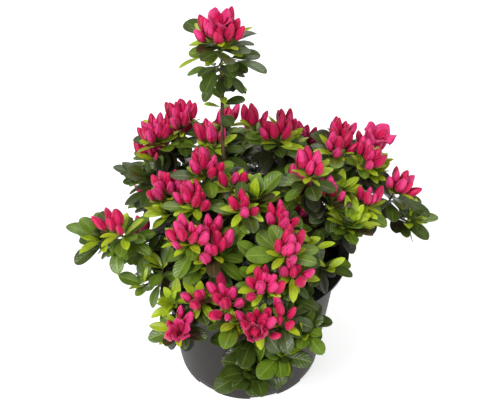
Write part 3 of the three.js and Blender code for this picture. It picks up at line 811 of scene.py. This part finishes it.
def make_pot():
    """The outline turned round: up the outside, over the rim and down the inside."""
    shoulder = POT_HEIGHT - POT_RIM_THICKNESS
    outside = [(POT_BASE_RADIUS - 6, 0), (POT_BASE_RADIUS - POT_FOOT_BEVEL, 0)]
    for i in range(1, 5):
        turn = i / 4 * math.pi / 2
        outside.append((POT_BASE_RADIUS - POT_FOOT_BEVEL * (1 - math.sin(turn)),
                        POT_FOOT_BEVEL * (1 - math.cos(turn))))
    for i in range(1, 15):
        height = mix(POT_FOOT_BEVEL, shoulder - 1.2, i / 14)
        outside.append((pot_outer_radius(height), height))
    fillet = pot_outer_radius(shoulder)
    outside.append((fillet + 0.35, shoulder - 0.35))
    edge, top = POT_RIM_RADIUS, POT_HEIGHT
    inner_top = pot_outer_radius(top) - POT_WALL
    rim = [(fillet + 1.2, shoulder), (edge - 1.2, shoulder), (edge - 0.35, shoulder + 0.3),
           (edge, shoulder + 0.9), (edge, top - 0.7), (edge - 0.25, top - 0.15),
           (edge - 0.7, top), (edge - 1.6, top - 0.25), (edge - 4, top - 0.3),
           (inner_top + 1.0, top - 0.3), (inner_top + 0.3, top - 0.6), (inner_top, top - 1.3)]
    inside = [(pot_outer_radius(height) - POT_WALL, height)
              for height in (120, 100, 70, 40, 15, POT_FLOOR)]
    inside.append((POT_BASE_RADIUS * 0.5, POT_FLOOR))
    rings = [level_ring(radius, height, POT_SIDES) for radius, height in outside + rim + inside]
    kinds = [0] * len(outside) + [1] * len(rim) + [0] * (len(inside) - 1)
    sheaf = Sheaf()
    sheaf.add_rings(rings, [[0, 0, 0], [0, 0, POT_FLOOR]], np.repeat(kinds, POT_SIDES), 0)
    cut_notches(sheaf.make("pot_shell", pot_materials(), ["pot"], "pot_plastic"))


def cut_notches(pot):
    """The drain recesses round the foot."""
    box_faces = ((0, 1, 3, 2), (4, 6, 7, 5), (0, 4, 5, 1), (2, 3, 7, 6), (0, 2, 6, 4),
                 (1, 5, 7, 3))
    corners, faces = [], []
    for i in range(NOTCH_COUNT):
        angle = NOTCH_TURN + i * 360 / NOTCH_COUNT
        for x, y, z in product((-0.5, 0.5), (-1, 1), (-1, 1)):
            spot = Vector((x * NOTCH_WIDTH, y * NOTCH_DEPTH - POT_BASE_RADIUS, z * NOTCH_HEIGHT))
            spot = Vector((spot.x * cosine(angle) - spot.y * sine(angle),
                           spot.x * sine(angle) + spot.y * cosine(angle), spot.z))
            corners.append(spot * MM)
        faces += [[i * 8 + corner for corner in face] for face in box_faces]
    cutter = bpy.data.meshes.new("notches")
    cutter.from_pydata(corners, [], faces)
    tool = put_in_scene("notches", cutter)
    cut = pot.modifiers.new("notches", "BOOLEAN")
    cut.object = tool
    cut.solver = "EXACT"
    bpy.context.view_layer.update()
    graph = bpy.context.evaluated_depsgraph_get()
    carved = bpy.data.meshes.new_from_object(pot.evaluated_get(graph))
    pot.modifiers.clear()
    pot.data = carved
    bpy.data.objects.remove(tool)


# Soil

def make_soil():
    """Rough potting soil, smoother near the trunk, with loose crumbs on it."""
    radius = pot_outer_radius(SOIL_TOP - SOIL_RELIEF) - POT_WALL - CLEAR
    rings = []
    for i in range(SOIL_ROWS):
        reach = mix(2, radius, i / (SOIL_ROWS - 1))
        ring = level_ring(reach, 0.0, SOIL_SIDES)
        rough = ripple(ring, 9, 5) * 1.6 + ripple(ring, 30, 6) * 1.8
        ring[:, 2] = SOIL_TOP - 0.6 + rough * min(1, 0.3 + reach / 20)
        rings.append(ring)
    skirt = rings[-1].copy()
    skirt[:, 2] = SOIL_TOP - SOIL_DEPTH
    rings += [skirt, skirt * [0.97, 0.97, 1]]
    sheaf = Sheaf()
    ends = [[0, 0, SOIL_TOP], [0, 0, SOIL_TOP - SOIL_DEPTH]]
    sheaf.add_rings(rings, ends, SOIL, SOIL, downward=True)
    dice = Dice(CRUMB_SEED)
    for i in range(CRUMB_COUNT):
        reach = radius * 0.97 * math.sqrt(dice.roll())
        spot = on_crown(dice.between(0, 360), reach, SOIL_TOP + dice.between(-0.6, 1.6))
        if i % PERLITE_EVERY == 0:
            crumb(sheaf, spot, dice.between(0.7, 1.5), PERLITE, dice)
        else:
            crumb(sheaf, spot, dice.between(0.8, 2.6), CRUMB, dice)
    sheaf.make("soil_surface", soil_materials, ["soil"], "soil")


def crumb(sheaf, spot, size, kind, dice):
    """A lump of soil: a squashed ball of six by four faces."""
    sides, rows = 6, 3
    rings = []
    for i in range(1, rows + 1):
        lean = math.pi * i / (rows + 1)
        ring = []
        for j in range(sides):
            turn = 2 * math.pi * j / sides
            reach = size * dice.between(0.7, 1.2)
            ring.append([reach * math.sin(lean) * math.cos(turn),
                         reach * math.sin(lean) * math.sin(turn), 0.75 * reach * math.cos(lean)])
        rings.append(np.array(ring) + spot)
    ends = np.array([[0, 0, 0.7 * size], [0, 0, -0.7 * size]]) + spot
    sheaf.add_rings(rings, ends, kind, kind, downward=True)


# Trunk and boughs

def make_bark():
    """The trunk with its root flare, rounded off at the fork, and the boughs."""
    lobes = 1 - LOBE_DEPTH + LOBE_DEPTH * np.cos(FLARE_LOBES * angles_round(TRUNK_SIDES))
    ring = level_ring(1, 0, TRUNK_SIDES)
    rings = []
    for i in range(TRUNK_ROWS):
        along = i / (TRUNK_ROWS - 1)
        flare = FLARE_RADIUS * (1 - along) ** FLARE_FADE * lobes
        radius = mix(TRUNK_RADIUS, TRUNK_TOP_RADIUS, along) + flare
        if along > 0.93:
            radius = radius * (1 - 0.45 * ((along - 0.93) / 0.07) ** 2)
        spots = mix(TRUNK_FOOT, TRUNK_TIP, along) + ring * radius[:, None]
        furrows = ripple(spots * [1, 1, 0.3], 4.5, 21)
        rings.append(spots + ring * (furrows * 0.7)[:, None])
    sheaf = Sheaf()
    sheaf.add_rings(rings, [TRUNK_FOOT, TRUNK_TIP], 0, 0)
    for mass in masses:
        steps = max(int(mass["path"].length * mass["entry"] / 2.2), 8)
        line = mass["path"].line(0, mass["entry"], steps)
        radii = [limb_radius(mass["entry"] * i / (steps - 1)) for i in range(steps)]
        tube(sheaf, line, radii, 12, 0, 0.22, 31 + mass["index"])
    names = ["trunk"] + [f"bough_{mass['name']}" for mass in masses]
    sheaf.make("bark_limbs", [bark_material()], names, "bark")


# Leaf

LEAF_ROWS = np.array([0, 0.05, 0.1, 0.2, 0.33, 0.46, 0.59, 0.71, 0.82, 0.9, 0.96, 1.0])
LEAF_COLUMNS = np.array([-1, -0.9, -0.5, -0.07, 0.07, 0.5, 0.9, 1.0])
LINE_COLUMN = 3  # the middle line's strip
LEAF_TESTS = [(row, column) for row in (5, 7, 9, 11) for column in (0, 3, 7)]
STALK = 0.1
ROWS, COLUMNS = len(LEAF_ROWS), len(LEAF_COLUMNS)


def leaf_half_width(kind):
    """Half the leaf's width at each row, as a share of its length."""
    swell, close, width = (0.8, 0.68, 0.18) if kind == "young" else (0.85, 0.58, 0.26)
    share = np.clip((LEAF_ROWS - STALK) / (1 - STALK), 0, 1)
    peak = swell / (swell + close)
    shape = share ** swell * (1 - share) ** close / (peak ** swell * (1 - peak) ** close)
    return np.maximum(width * shape, 0.022)


def leaf_points(base, direction, normal, length, kind, bend, cup, twist, wave):
    """The upper face as rows of points, and the middle line of the under face."""
    side = unit(np.cross(direction, normal))
    normal = np.cross(side, direction)
    rows = LEAF_ROWS[:, None]
    angle = bend * rows
    centre = base + length * (direction * np.sin(angle) / bend
                              - normal * (1 - np.cos(angle)) / bend)
    tilted = normal * np.cos(angle) + direction * np.sin(angle)
    turn = twist * rows
    across = side * np.cos(turn) + tilted * np.sin(turn)
    lift = tilted * np.cos(turn) - side * np.sin(turn)
    half = (HALF_WIDTHS[kind] * length)[:, None, None]
    u = LEAF_COLUMNS[None, :, None]
    rise = cup * np.abs(u) * 1.3 - cup * u ** 2 * 0.75
    ruffle = wave * np.sin(rows[:, :, None] * 9 + u * 2.5) * np.abs(u)
    upper = centre[:, None] + across[:, None] * u * half + lift[:, None] * half * (rise + ruffle)
    thickness = 0.012 * length * np.sqrt(np.clip(1 - LEAF_ROWS, 0.1, 1))[:, None]
    return upper, centre - lift * thickness


def leaf_faces():
    """Quads of the upper face and of the under face's halves, and a fan at each end."""
    row, column = np.arange(ROWS - 1), np.arange(COLUMNS - 1)
    left, middle = row * COLUMNS, row + ROWS * COLUMNS
    right = left + COLUMNS - 1
    last = column + (ROWS - 1) * COLUMNS
    quads = [grid_quads(ROWS, COLUMNS),
             np.stack([left, left + COLUMNS, middle + 1, middle], axis=1),
             np.stack([middle, middle + 1, right + COLUMNS, right], axis=1)]
    ends = [fan(ROWS * COLUMNS, column + 1, column),
            fan(ROWS * COLUMNS + ROWS - 1, last, last + 1)]
    return np.concatenate(quads), np.concatenate(ends)


def leaf_face_kinds(kind):
    strips = np.full(COLUMNS - 1, LEAF_INDEX[kind])
    strips[LINE_COLUMN] += 1
    return np.concatenate([np.tile(strips, ROWS - 1), np.full(2 * (ROWS - 1), UNDER_INDEX)])


HALF_WIDTHS = {kind: leaf_half_width(kind) for kind in LEAF_KINDS}
FACE_KINDS = {kind: leaf_face_kinds(kind) for kind in LEAF_KINDS}
LEAF_QUADS, LEAF_ENDS = leaf_faces()
LEAF_UV = np.concatenate([
    np.stack([np.tile((LEAF_COLUMNS + 1) / 2, ROWS), np.repeat(LEAF_ROWS, COLUMNS)], axis=1),
    np.stack([np.full(ROWS, 0.5), LEAF_ROWS], axis=1),
])


def place_leaf(sheaf, base, axis, turn, tilt, length, kind, dice, strict=1, bud_gap=3.9,
               leaf_gap=LEAF_GAP):
    """A leaf on a stem of that axis, tried further up and shorter until it has room."""
    first, second = sides_of(axis)
    bend = dice.between(0.12, 0.6)
    cup = dice.between(0.18, 0.45)
    twist = dice.play(0.3)
    wave = dice.between(0.0, 0.05)
    roll = dice.play(0.35)
    for attempt in range(LEAF_TRIES):
        again, step = divmod(attempt, TRIES_IN_PLACE)
        outward = toward(first, second, turn + again * TURNED_ON)
        direction = unit(toward(axis, outward, tilt - step * TRY_TILT + again * TURNED_TILT))
        normal = axis - direction * (axis @ direction) + UP * LEAF_FACE_UP
        normal = unit(normal - direction * (normal @ direction))
        normal = turned_about(normal, direction, roll)
        size = length * (1 - TRY_SHRINK * attempt)
        upper, under = leaf_points(base, direction, normal, size, kind, bend, cup, twist, wave)
        tests = np.array([upper[row, column] for row, column in LEAF_TESTS])
        if too_low(tests) or not clear_of_pot(tests):
            continue
        if bud_crowd.touched(tests, bud_gap) > 0 or leaf_crowd.touched(tests, leaf_gap) > strict:
            continue
        leaf_crowd.take(tests)
        points = np.concatenate([upper.reshape(-1, 3), under])
        sheaf.add(points, LEAF_QUADS, FACE_KINDS[kind], LEAF_ENDS, UNDER_INDEX, LEAF_UV)
        return True
    return False


# Buds and flowers

# How far along the bud, and its width there as a share of the widest
BUD_SHAPE = np.array([
    (0.0, 0.22), (0.05, 0.44), (0.13, 0.7), (0.24, 0.91), (0.36, 1.0), (0.48, 0.99),
    (0.6, 0.94), (0.72, 0.83), (0.83, 0.66), (0.92, 0.45), (1.0, 0.16),
])
PETALS = 4
# Where each petal's points lie between its free edge and the next petal's
PETAL_STEPS = [0.0, 0.05, 0.28, 0.52, 0.76, 0.94]
BUD_SIDES = PETALS * len(PETAL_STEPS)


def bud_face_kinds(light):
    """Painted shade at the base and in the line where a petal laps the next, and a painted
    highlight above on a light bud.
    """
    rows, sides = np.divmod(np.arange((len(BUD_SHAPE) - 1) * BUD_SIDES), BUD_SIDES)
    # a petal's last strip, where it laps the next, gets painted shade
    lapped = sides % len(PETAL_STEPS) == len(PETAL_STEPS) - 1
    # above the fifth row a light bud gets the painted highlight
    petals = np.where((rows > 4) & light, PETAL_PALE_AND_HIGHLIGHT, PETAL)
    return np.where(lapped | (rows < 2), PETAL_SHADE, petals)


def add_bud(sheaf, base, direction, length, radius, dice):
    """A bud of petals lapped over each other: each free edge stands up over a dark line of painted
    shade.
    """
    first, second = frame_on(direction)
    turn = dice.between(0, 1)
    wraps = (np.arange(PETALS)[:, None] + np.array(PETAL_STEPS)).ravel() / PETALS
    rise = 0.3 * (np.tile(PETAL_STEPS, PETALS) - 0.5)
    bend = dice.play(0.1)
    swirl = dice.between(0.1, 0.2)
    rings = []
    for along, width in BUD_SHAPE:
        angles = (wraps + turn + swirl * along) * 2 * math.pi
        fold = 1 + rise * math.sin(math.pi * min(0.2 + along * 0.8, 1))
        reach = (radius * width * fold)[:, None]
        centre = base + direction * along * length + first * bend * length * along ** 2
        rings.append(centre + round_about(first, second, angles) * reach)
    ends = [base, base + direction * length + first * bend * length]
    # two buds in five get the painted highlight on their upper rows
    kinds = bud_face_kinds(dice.roll() < 0.4)
    sheaf.add_rings(rings, ends, kinds, PETAL_SHADE)
    calyx(sheaf, base, direction, radius * 0.5, first, second)


def calyx(sheaf, base, direction, radius, first, second):
    """The green cup of sepals under a bud."""
    across = round_about(first, second, angles_round(8))
    rings = [base + direction * along + across * radius * width
             for along, width in ((-1.6, 0.35), (-0.6, 0.8), (0.5, 1.15), (1.6, 1.5))]
    sheaf.add_rings(rings, [base - direction * 1.8], CALYX, CALYX)


def add_petal(sheaf, base, axes, turn, length, flare, kind, dice):
    """One petal of a cup, lapped over the next one, as a closed thin shell."""
    direction, first, second = axes
    rows, columns = 9, 9
    v = np.linspace(0, 1, rows)[:, None]
    s = np.linspace(-1, 1, columns)[None, :]
    phase = dice.between(0, WAVE)
    sweep = 0.95 * (0.6 + 0.4 * np.sin(math.pi * v ** 0.8))
    reach = 0.8 + length * (0.28 * v ** 0.8 * (1 - 0.3 * v) + flare * v ** 3)
    reach = reach + (0.5 + 0.5 * v) * s + 0.5 * v ** 2 * np.sin(s * 6 + phase)
    height = length * (v - 0.25 * v ** 2 * s ** 2 - 0.45 * flare * v ** 4)
    outward = round_about(first, second, turn + s * sweep)
    faces = []
    for inset in (0, 0.25):
        spots = base + direction * height[..., None] + outward * (reach - inset)[..., None]
        faces.append(spots.reshape(-1, 3))
    count = rows * columns
    quads = grid_quads(rows, columns)
    rim = []
    for row, column in product(range(rows - 1), (0, columns - 1)):
        a, b = row * columns + column, (row + 1) * columns + column
        rim.append([a, b, b + count, a + count])
    for column, row in product(range(columns - 1), (0, rows - 1)):
        a = row * columns + column
        rim.append([a, a + 1, a + 1 + count, a + count])
    sheaf.add(np.concatenate(faces), np.concatenate([quads, quads[:, ::-1] + count, rim]), kind)


def add_flower(sheaf, base, direction, length, flare, dice):
    """An opening flower: five petals round three, and a closed bud inside if it hardly flares."""
    first, second = frame_on(direction)
    axes = (direction, first, second)
    start = dice.between(0, WAVE)
    for i in range(5):
        add_petal(sheaf, base, axes, start + i * 2 * math.pi / 5, length, flare, PETAL_PALE_AND_HIGHLIGHT,
                  dice)
    for i in range(3):
        add_petal(sheaf, base + direction * 1.5, axes, start + 0.6 + i * 2 * math.pi / 3,
                  length * 0.8, flare * 0.3, PETAL, dice)
    if flare < 0.1:
        add_bud(sheaf, base + direction, direction, length * 0.85, length * 0.16, dice)
    calyx(sheaf, base, direction, 1.9, first, second)


def dress_truss(blossom, twigs, shoot, opened):
    """The buds at a flowering shoot's tip, in clusters that fan out and turn upwards."""
    dice, axis, tip = shoot["fine"], shoot["whorl"], shoot["tip"]
    first, second = frame_on(axis)
    start = dice.between(0, 360)
    clusters = TRUSS_CLUSTERS.get(shoot["mass"], 3)
    placed = []
    for k in range(clusters):
        spread = BUD_FAN * math.sqrt((k + 0.2) / clusters) + dice.play(5)
        outward = toward(first, second, start + k * GOLDEN_ANGLE + dice.play(12))
        reach = mix(*CLUSTER_REACH, spread / BUD_FAN) + dice.play(1.2)
        middle = tip + toward(axis, outward, spread) * reach
        lean = spread * BUD_LEAN + dice.play(7)
        direction = unit(toward(axis, outward, lean) + UP * BUD_LIFT)
        across, over = frame_on(direction)
        phase = dice.between(0, 360)
        for j in range(BUDS_IN_CLUSTER):
            offset = toward(across, over, phase + j * 360 / BUDS_IN_CLUSTER + dice.play(15))
            length = dice.between(*(BUD_LENGTH if j else FIRST_BUD_LENGTH))
            radius = length * dice.between(*BUD_RADIUS)
            foot = middle + offset * BUD_OFFSET + direction * dice.play(1.5)
            pointing = unit(direction + offset * dice.between(0.02, 0.3))
            tests = foot + np.outer([0.2, 0.5, 0.8], pointing) * length
            if not clear_of_pot(tests, BUD_TO_POT_GAP) or bud_crowd.touched(tests, BUD_GAP) > 0:
                continue
            if leaf_crowd.touched(tests, BUD_TO_LEAF_GAP) > 0:
                continue
            if (k, j) in opened:
                flare, scale = opened[(k, j)]
                add_flower(blossom, foot, pointing, length * scale, flare, dice)
            else:
                add_bud(blossom, foot, pointing, length, radius, dice)
            tube(twigs, [tip - shoot["axis"], mix(tip, foot, 0.5), foot - pointing * 0.4],
                 [0.5, 0.42, 0.5], 5, GREEN)
            placed.append(tests)
    for tests in placed:
        bud_crowd.take(tests)


# Twigs and their leaves

def dress_shoot(leaves, twigs, shoot):
    """A whorl of sprays below the tip, one for each leaf of the solid."""
    dice, tip, root = shoot["dice"], shoot["tip"], shoot["root"]
    lone, flowers = shoot["lone"], shoot["flowers"]
    length = np.linalg.norm(tip - root)
    count = LEAVES_ON_FLOWER_SHOOT if flowers else LEAVES_ON_LEAF_SHOOT
    spacing, foot_tilt = LEAF_SPACING, FOOT_TILT
    if lone:
        count, spacing, foot_tilt = LEAVES_ON_LONE_SHOOT, LONE_LEAF_SPACING, LONE_FOOT_TILT
    tube(twigs, [root, mix(root, tip, 0.5), tip], [1.0, 0.85, 0.7], 7, GREEN if lone else BROWN)
    if not shoot["tufted"]:
        dress_tip(leaves, shoot)
    top_tilt = TOP_TILT["flowers" if flowers else "leaves"]
    for i in range(count):
        age = (i + 0.5) / count
        below = i * spacing + (FLOWER_ROOM if flowers else 0)
        base = mix(root, tip, max(1 - below / length, LOWEST_LEAF))
        turn = shoot["turn"] + i * GOLDEN_ANGLE + dice.play(LEAF_TURN_PLAY)
        size = LEAF_LENGTH * shoot["leaf_size"]
        size *= dice.between(1 - LEAF_SIZE_PLAY, 1 + LEAF_SIZE_PLAY)
        if lone:
            size *= 1 - 0.25 * age
        spray(leaves, twigs, shoot, base, turn, mix(top_tilt, foot_tilt, age), size, age)


def dress_tip(leaves, shoot):
    """The youngest leaves: a ring under a truss of buds, or a tuft at a leafy tip."""
    dice, axis, tip = shoot["fine"], shoot["whorl"], shoot["tip"]
    habit = "flowers" if shoot["flowers"] else "leaves"
    if shoot["tufted"]:
        habit = "tuft"
    if shoot["lone"]:
        habit = "lone"
    count, least, most, grown, low, gap, bud_gap, strict = TIP_LEAVES[habit]
    if not shoot["lone"] and (shoot["old"] or shoot["sparse"]):
        count = FEW_TIP_LEAVES
    for i in range(count):
        kind = "young" if dice.roll() < 0.94 else "bronze"
        place_leaf(leaves, tip - shoot["axis"] * dice.between(-2, low), axis,
                   shoot["turn"] + 60 + i * GOLDEN_ANGLE, mix(least, most, (i + 0.5) / count),
                   dice.between(14, 22) * grown, kind, dice, strict, bud_gap, gap)


def leaf_age_kind(age, shoot, dice):
    """Lime leaves near a shoot's tip, dark ones at its foot, half of the last ones near-black as
    painted shade.
    """
    chance = dice.roll()
    leafy = not shoot["flowers"] and not shoot["old"]
    young = mix(0.7 if leafy else 0.4, -0.15, min(age / 0.6, 1))
    if chance < young:
        return "young"
    if chance > 0.99:
        return "bronze"
    if age > 0.75 and not shoot["fresh"]:
        # half of the oldest leaves are near-black, as painted shade
        return "painted_shade" if dice.roll() < 0.5 else "dark"
    middle = mix(0.8, 0.2, age)
    if shoot["fresh"]:
        middle = 0.85
    if shoot["old"]:
        middle = 0.25
    return "mid" if dice.roll() < middle else "dark"


def spray(leaves, twigs, shoot, base, turn, tilt, size, age):
    """A finer twig with up to three leaves, in the place of one leaf of the solid."""
    dice, axis = shoot["fine"], shoot["whorl"]
    kind = leaf_age_kind(age, shoot, dice)
    leaf = size * (0.64 if kind == "young" else 0.84)
    stalk = size * dice.between(0.04, 0.16)
    gap = LEAF_GAP
    if shoot["lone"]:
        leaf *= 0.8
        stalk += size * 0.2
        gap = LONE_LEAF_GAP
    end = base + unit(toward(axis, toward(*sides_of(axis), turn), tilt)) * stalk
    placed = place_leaf(leaves, end, axis, turn, tilt, leaf, kind, dice, 2, leaf_gap=gap)
    for way_round in () if shoot["sparse"] else (-1, 1):
        placed |= place_leaf(leaves, mix(base, end, dice.between(0.3, 0.8)), axis,
                             turn + way_round * dice.between(38, 62), tilt - dice.between(0, 14),
                             leaf * dice.between(0.72, 0.92), kind, dice, 2, leaf_gap=gap)
    if placed and stalk > 1:
        tube(twigs, [base, mix(base, end, 0.5), end], [0.6, 0.5, 0.45], 5, GREEN)


def dress_stem(leaves, mass):
    """Older leaves along the bough's outer part and the stem inside the mass; except on a lone
    stem, most are near-black as painted shade.
    """
    path, lone, dice = mass["path"], mass["lone"], Dice(STEM_SEED + mass["index"])
    turn = dice.between(0, 360)
    count = int(path.length * (1 - STEM_START) / STEM_LEAF_SPACING)
    strict, gap = 1, LEAF_GAP
    if lone:
        count, strict, gap = LEAVES_ON_LONE_STEM, 5, LONE_LEAF_GAP
    for i in range(count):
        along = STEM_START + (STEM_END - STEM_START) * (i + 0.5) / count
        # stem leaves inside the mass are mostly near-black, as painted shade
        kind = "bronze" if dice.roll() < 0.08 else "painted_shade"
        length = dice.between(19, 27)
        if lone:
            along = mix(LONE_STEM_START, LONE_STEM_END, i / (count - 1))
            kind = "young" if i % 3 else "dark"
            length = dice.between(15, 21)
        axis = unit(path.at(along + 0.01) - path.at(along - 0.01))
        place_leaf(leaves, path.at(along), axis, turn + i * GOLDEN_ANGLE, dice.between(55, 85),
                   length, kind, dice, strict, leaf_gap=gap)


def make_foliage():
    """Tufts first, then buds, then the other leaves in the room that is left."""
    leaves = {group: Sheaf() for group in GROUPS}
    blossom = {group: Sheaf() for group in GROUPS}
    twigs = Sheaf()
    for mass in masses:
        for shoot in mass["shoots"]:
            shoot["turn"] = shoot["dice"].between(0, 360)
            if shoot["tufted"]:
                dress_tip(leaves[mass["group"]], shoot)
    for mass in masses:
        for i, shoot in enumerate(mass["shoots"]):
            if shoot["flowers"]:
                opened = OPEN_FLOWERS.get((mass["name"], i), {})
                dress_truss(blossom[mass["group"]], twigs, shoot, opened)
    for mass in masses:
        line = mass["path"].line(mass["entry"], 1, 8)
        radii = [limb_radius(mix(mass["entry"], 1, i / 7)) for i in range(8)]
        tube(twigs, line, radii, 8, BROWN, 0.1, 60 + mass["index"])
        for shoot in mass["shoots"]:
            dress_shoot(leaves[mass["group"]], twigs, shoot)
        dress_stem(leaves[mass["group"]], mass)
    for group, members in GROUPS.items():
        names = [f"mass_{masses[i]['name']}" for i in members]
        leaves[group].make(f"leaves_{group}", leaf_materials, names, "foliage")
        blossom[group].make(f"blossom_{group}", petal_materials, names, "foliage")
    twigs.make("twigs", twig_materials, [f"mass_{mass['name']}" for mass in masses], "bark")


make_pot()
make_soil()
make_bark()
make_foliage()


# Floor, light and camera

def make_stage():
    mesh = bpy.data.meshes.new("floor")
    reach = STAGE_REACH
    mesh.from_pydata([(-reach, -reach, 0), (reach, -reach, 0), (reach, reach, 0),
                      (-reach, reach, 0)], [], [(0, 1, 2, 3)])
    mesh.materials.append(glowing("floor", 0.1, 0.9, 0.55))
    floor = put_in_scene("floor", mesh)
    make_backdrop()
    world = bpy.data.worlds.new("studio")
    world.use_nodes = True
    world.node_tree.nodes["Background"].inputs[0].default_value = (1, 1, 1, 1)
    world.node_tree.nodes["Background"].inputs[1].default_value = 0.3
    bpy.context.scene.world = world
    add_light("key", (-0.7, -0.9, 1.3), 0.7, 17.5)
    add_light("fill", (0.8, -0.9, 1.1), 0.9, 6)
    add_light("back", (0.2, 1.0, 1.1), 0.9, 5)


def glowing(name, specular, grey, glow):
    """A matt grey that also gives off some white light of its own."""
    shader = Shader(name, 0.9, specular)
    shader.own(Base_Color=(grey, grey, grey, 1), Emission_Color=(1, 1, 1, 1),
               Emission_Strength=glow)
    return shader.material


def make_backdrop():
    """A pale dome from the floor up, which only the camera sees, so it gives no light."""
    rows, sides = 17, 64
    rings = [level_ring(math.cos(lift), math.sin(lift), sides)
             for lift in np.linspace(0, math.pi / 2 - 0.02, rows)]
    mesh = bpy.data.meshes.new("backdrop")
    mesh.from_pydata((np.concatenate(rings) * STAGE_REACH).tolist(), [],
                     grid_quads(rows, sides, True)[:, ::-1].tolist())
    mesh.materials.append(glowing("backdrop", 0.0, 0, 0.82))
    dome = put_in_scene("backdrop", mesh)
    dome.visible_diffuse = dome.visible_glossy = dome.visible_transmission = False
    dome.visible_shadow = False


def add_light(name, place, size, power):
    light = bpy.data.lights.new(name, "AREA")
    light.shape = "DISK"
    light.size = size
    light.energy = power
    lamp = put_in_scene(name, light)
    lamp.location = place
    lamp.rotation_euler = (Vector((0, 0, 0.17)) - lamp.location).to_track_quat("-Z", "Y").to_euler()


def make_camera():
    data = bpy.data.cameras.new("camera")
    data.sensor_width = 36
    data.lens = CAMERA_LENS
    data.clip_start, data.clip_end = 0.01, 20
    camera = put_in_scene("camera", data)
    back = Vector((0, -cosine(CAMERA_ELEVATION), sine(CAMERA_ELEVATION)))
    camera.location = Vector(CAMERA_AIM) * MM + back * CAMERA_DISTANCE * MM
    camera.rotation_euler = (-back).to_track_quat("-Z", "Y").to_euler()
    bpy.context.scene.camera = camera


make_stage()
make_camera()
bpy.context.scene.view_settings.view_transform = "Standard"
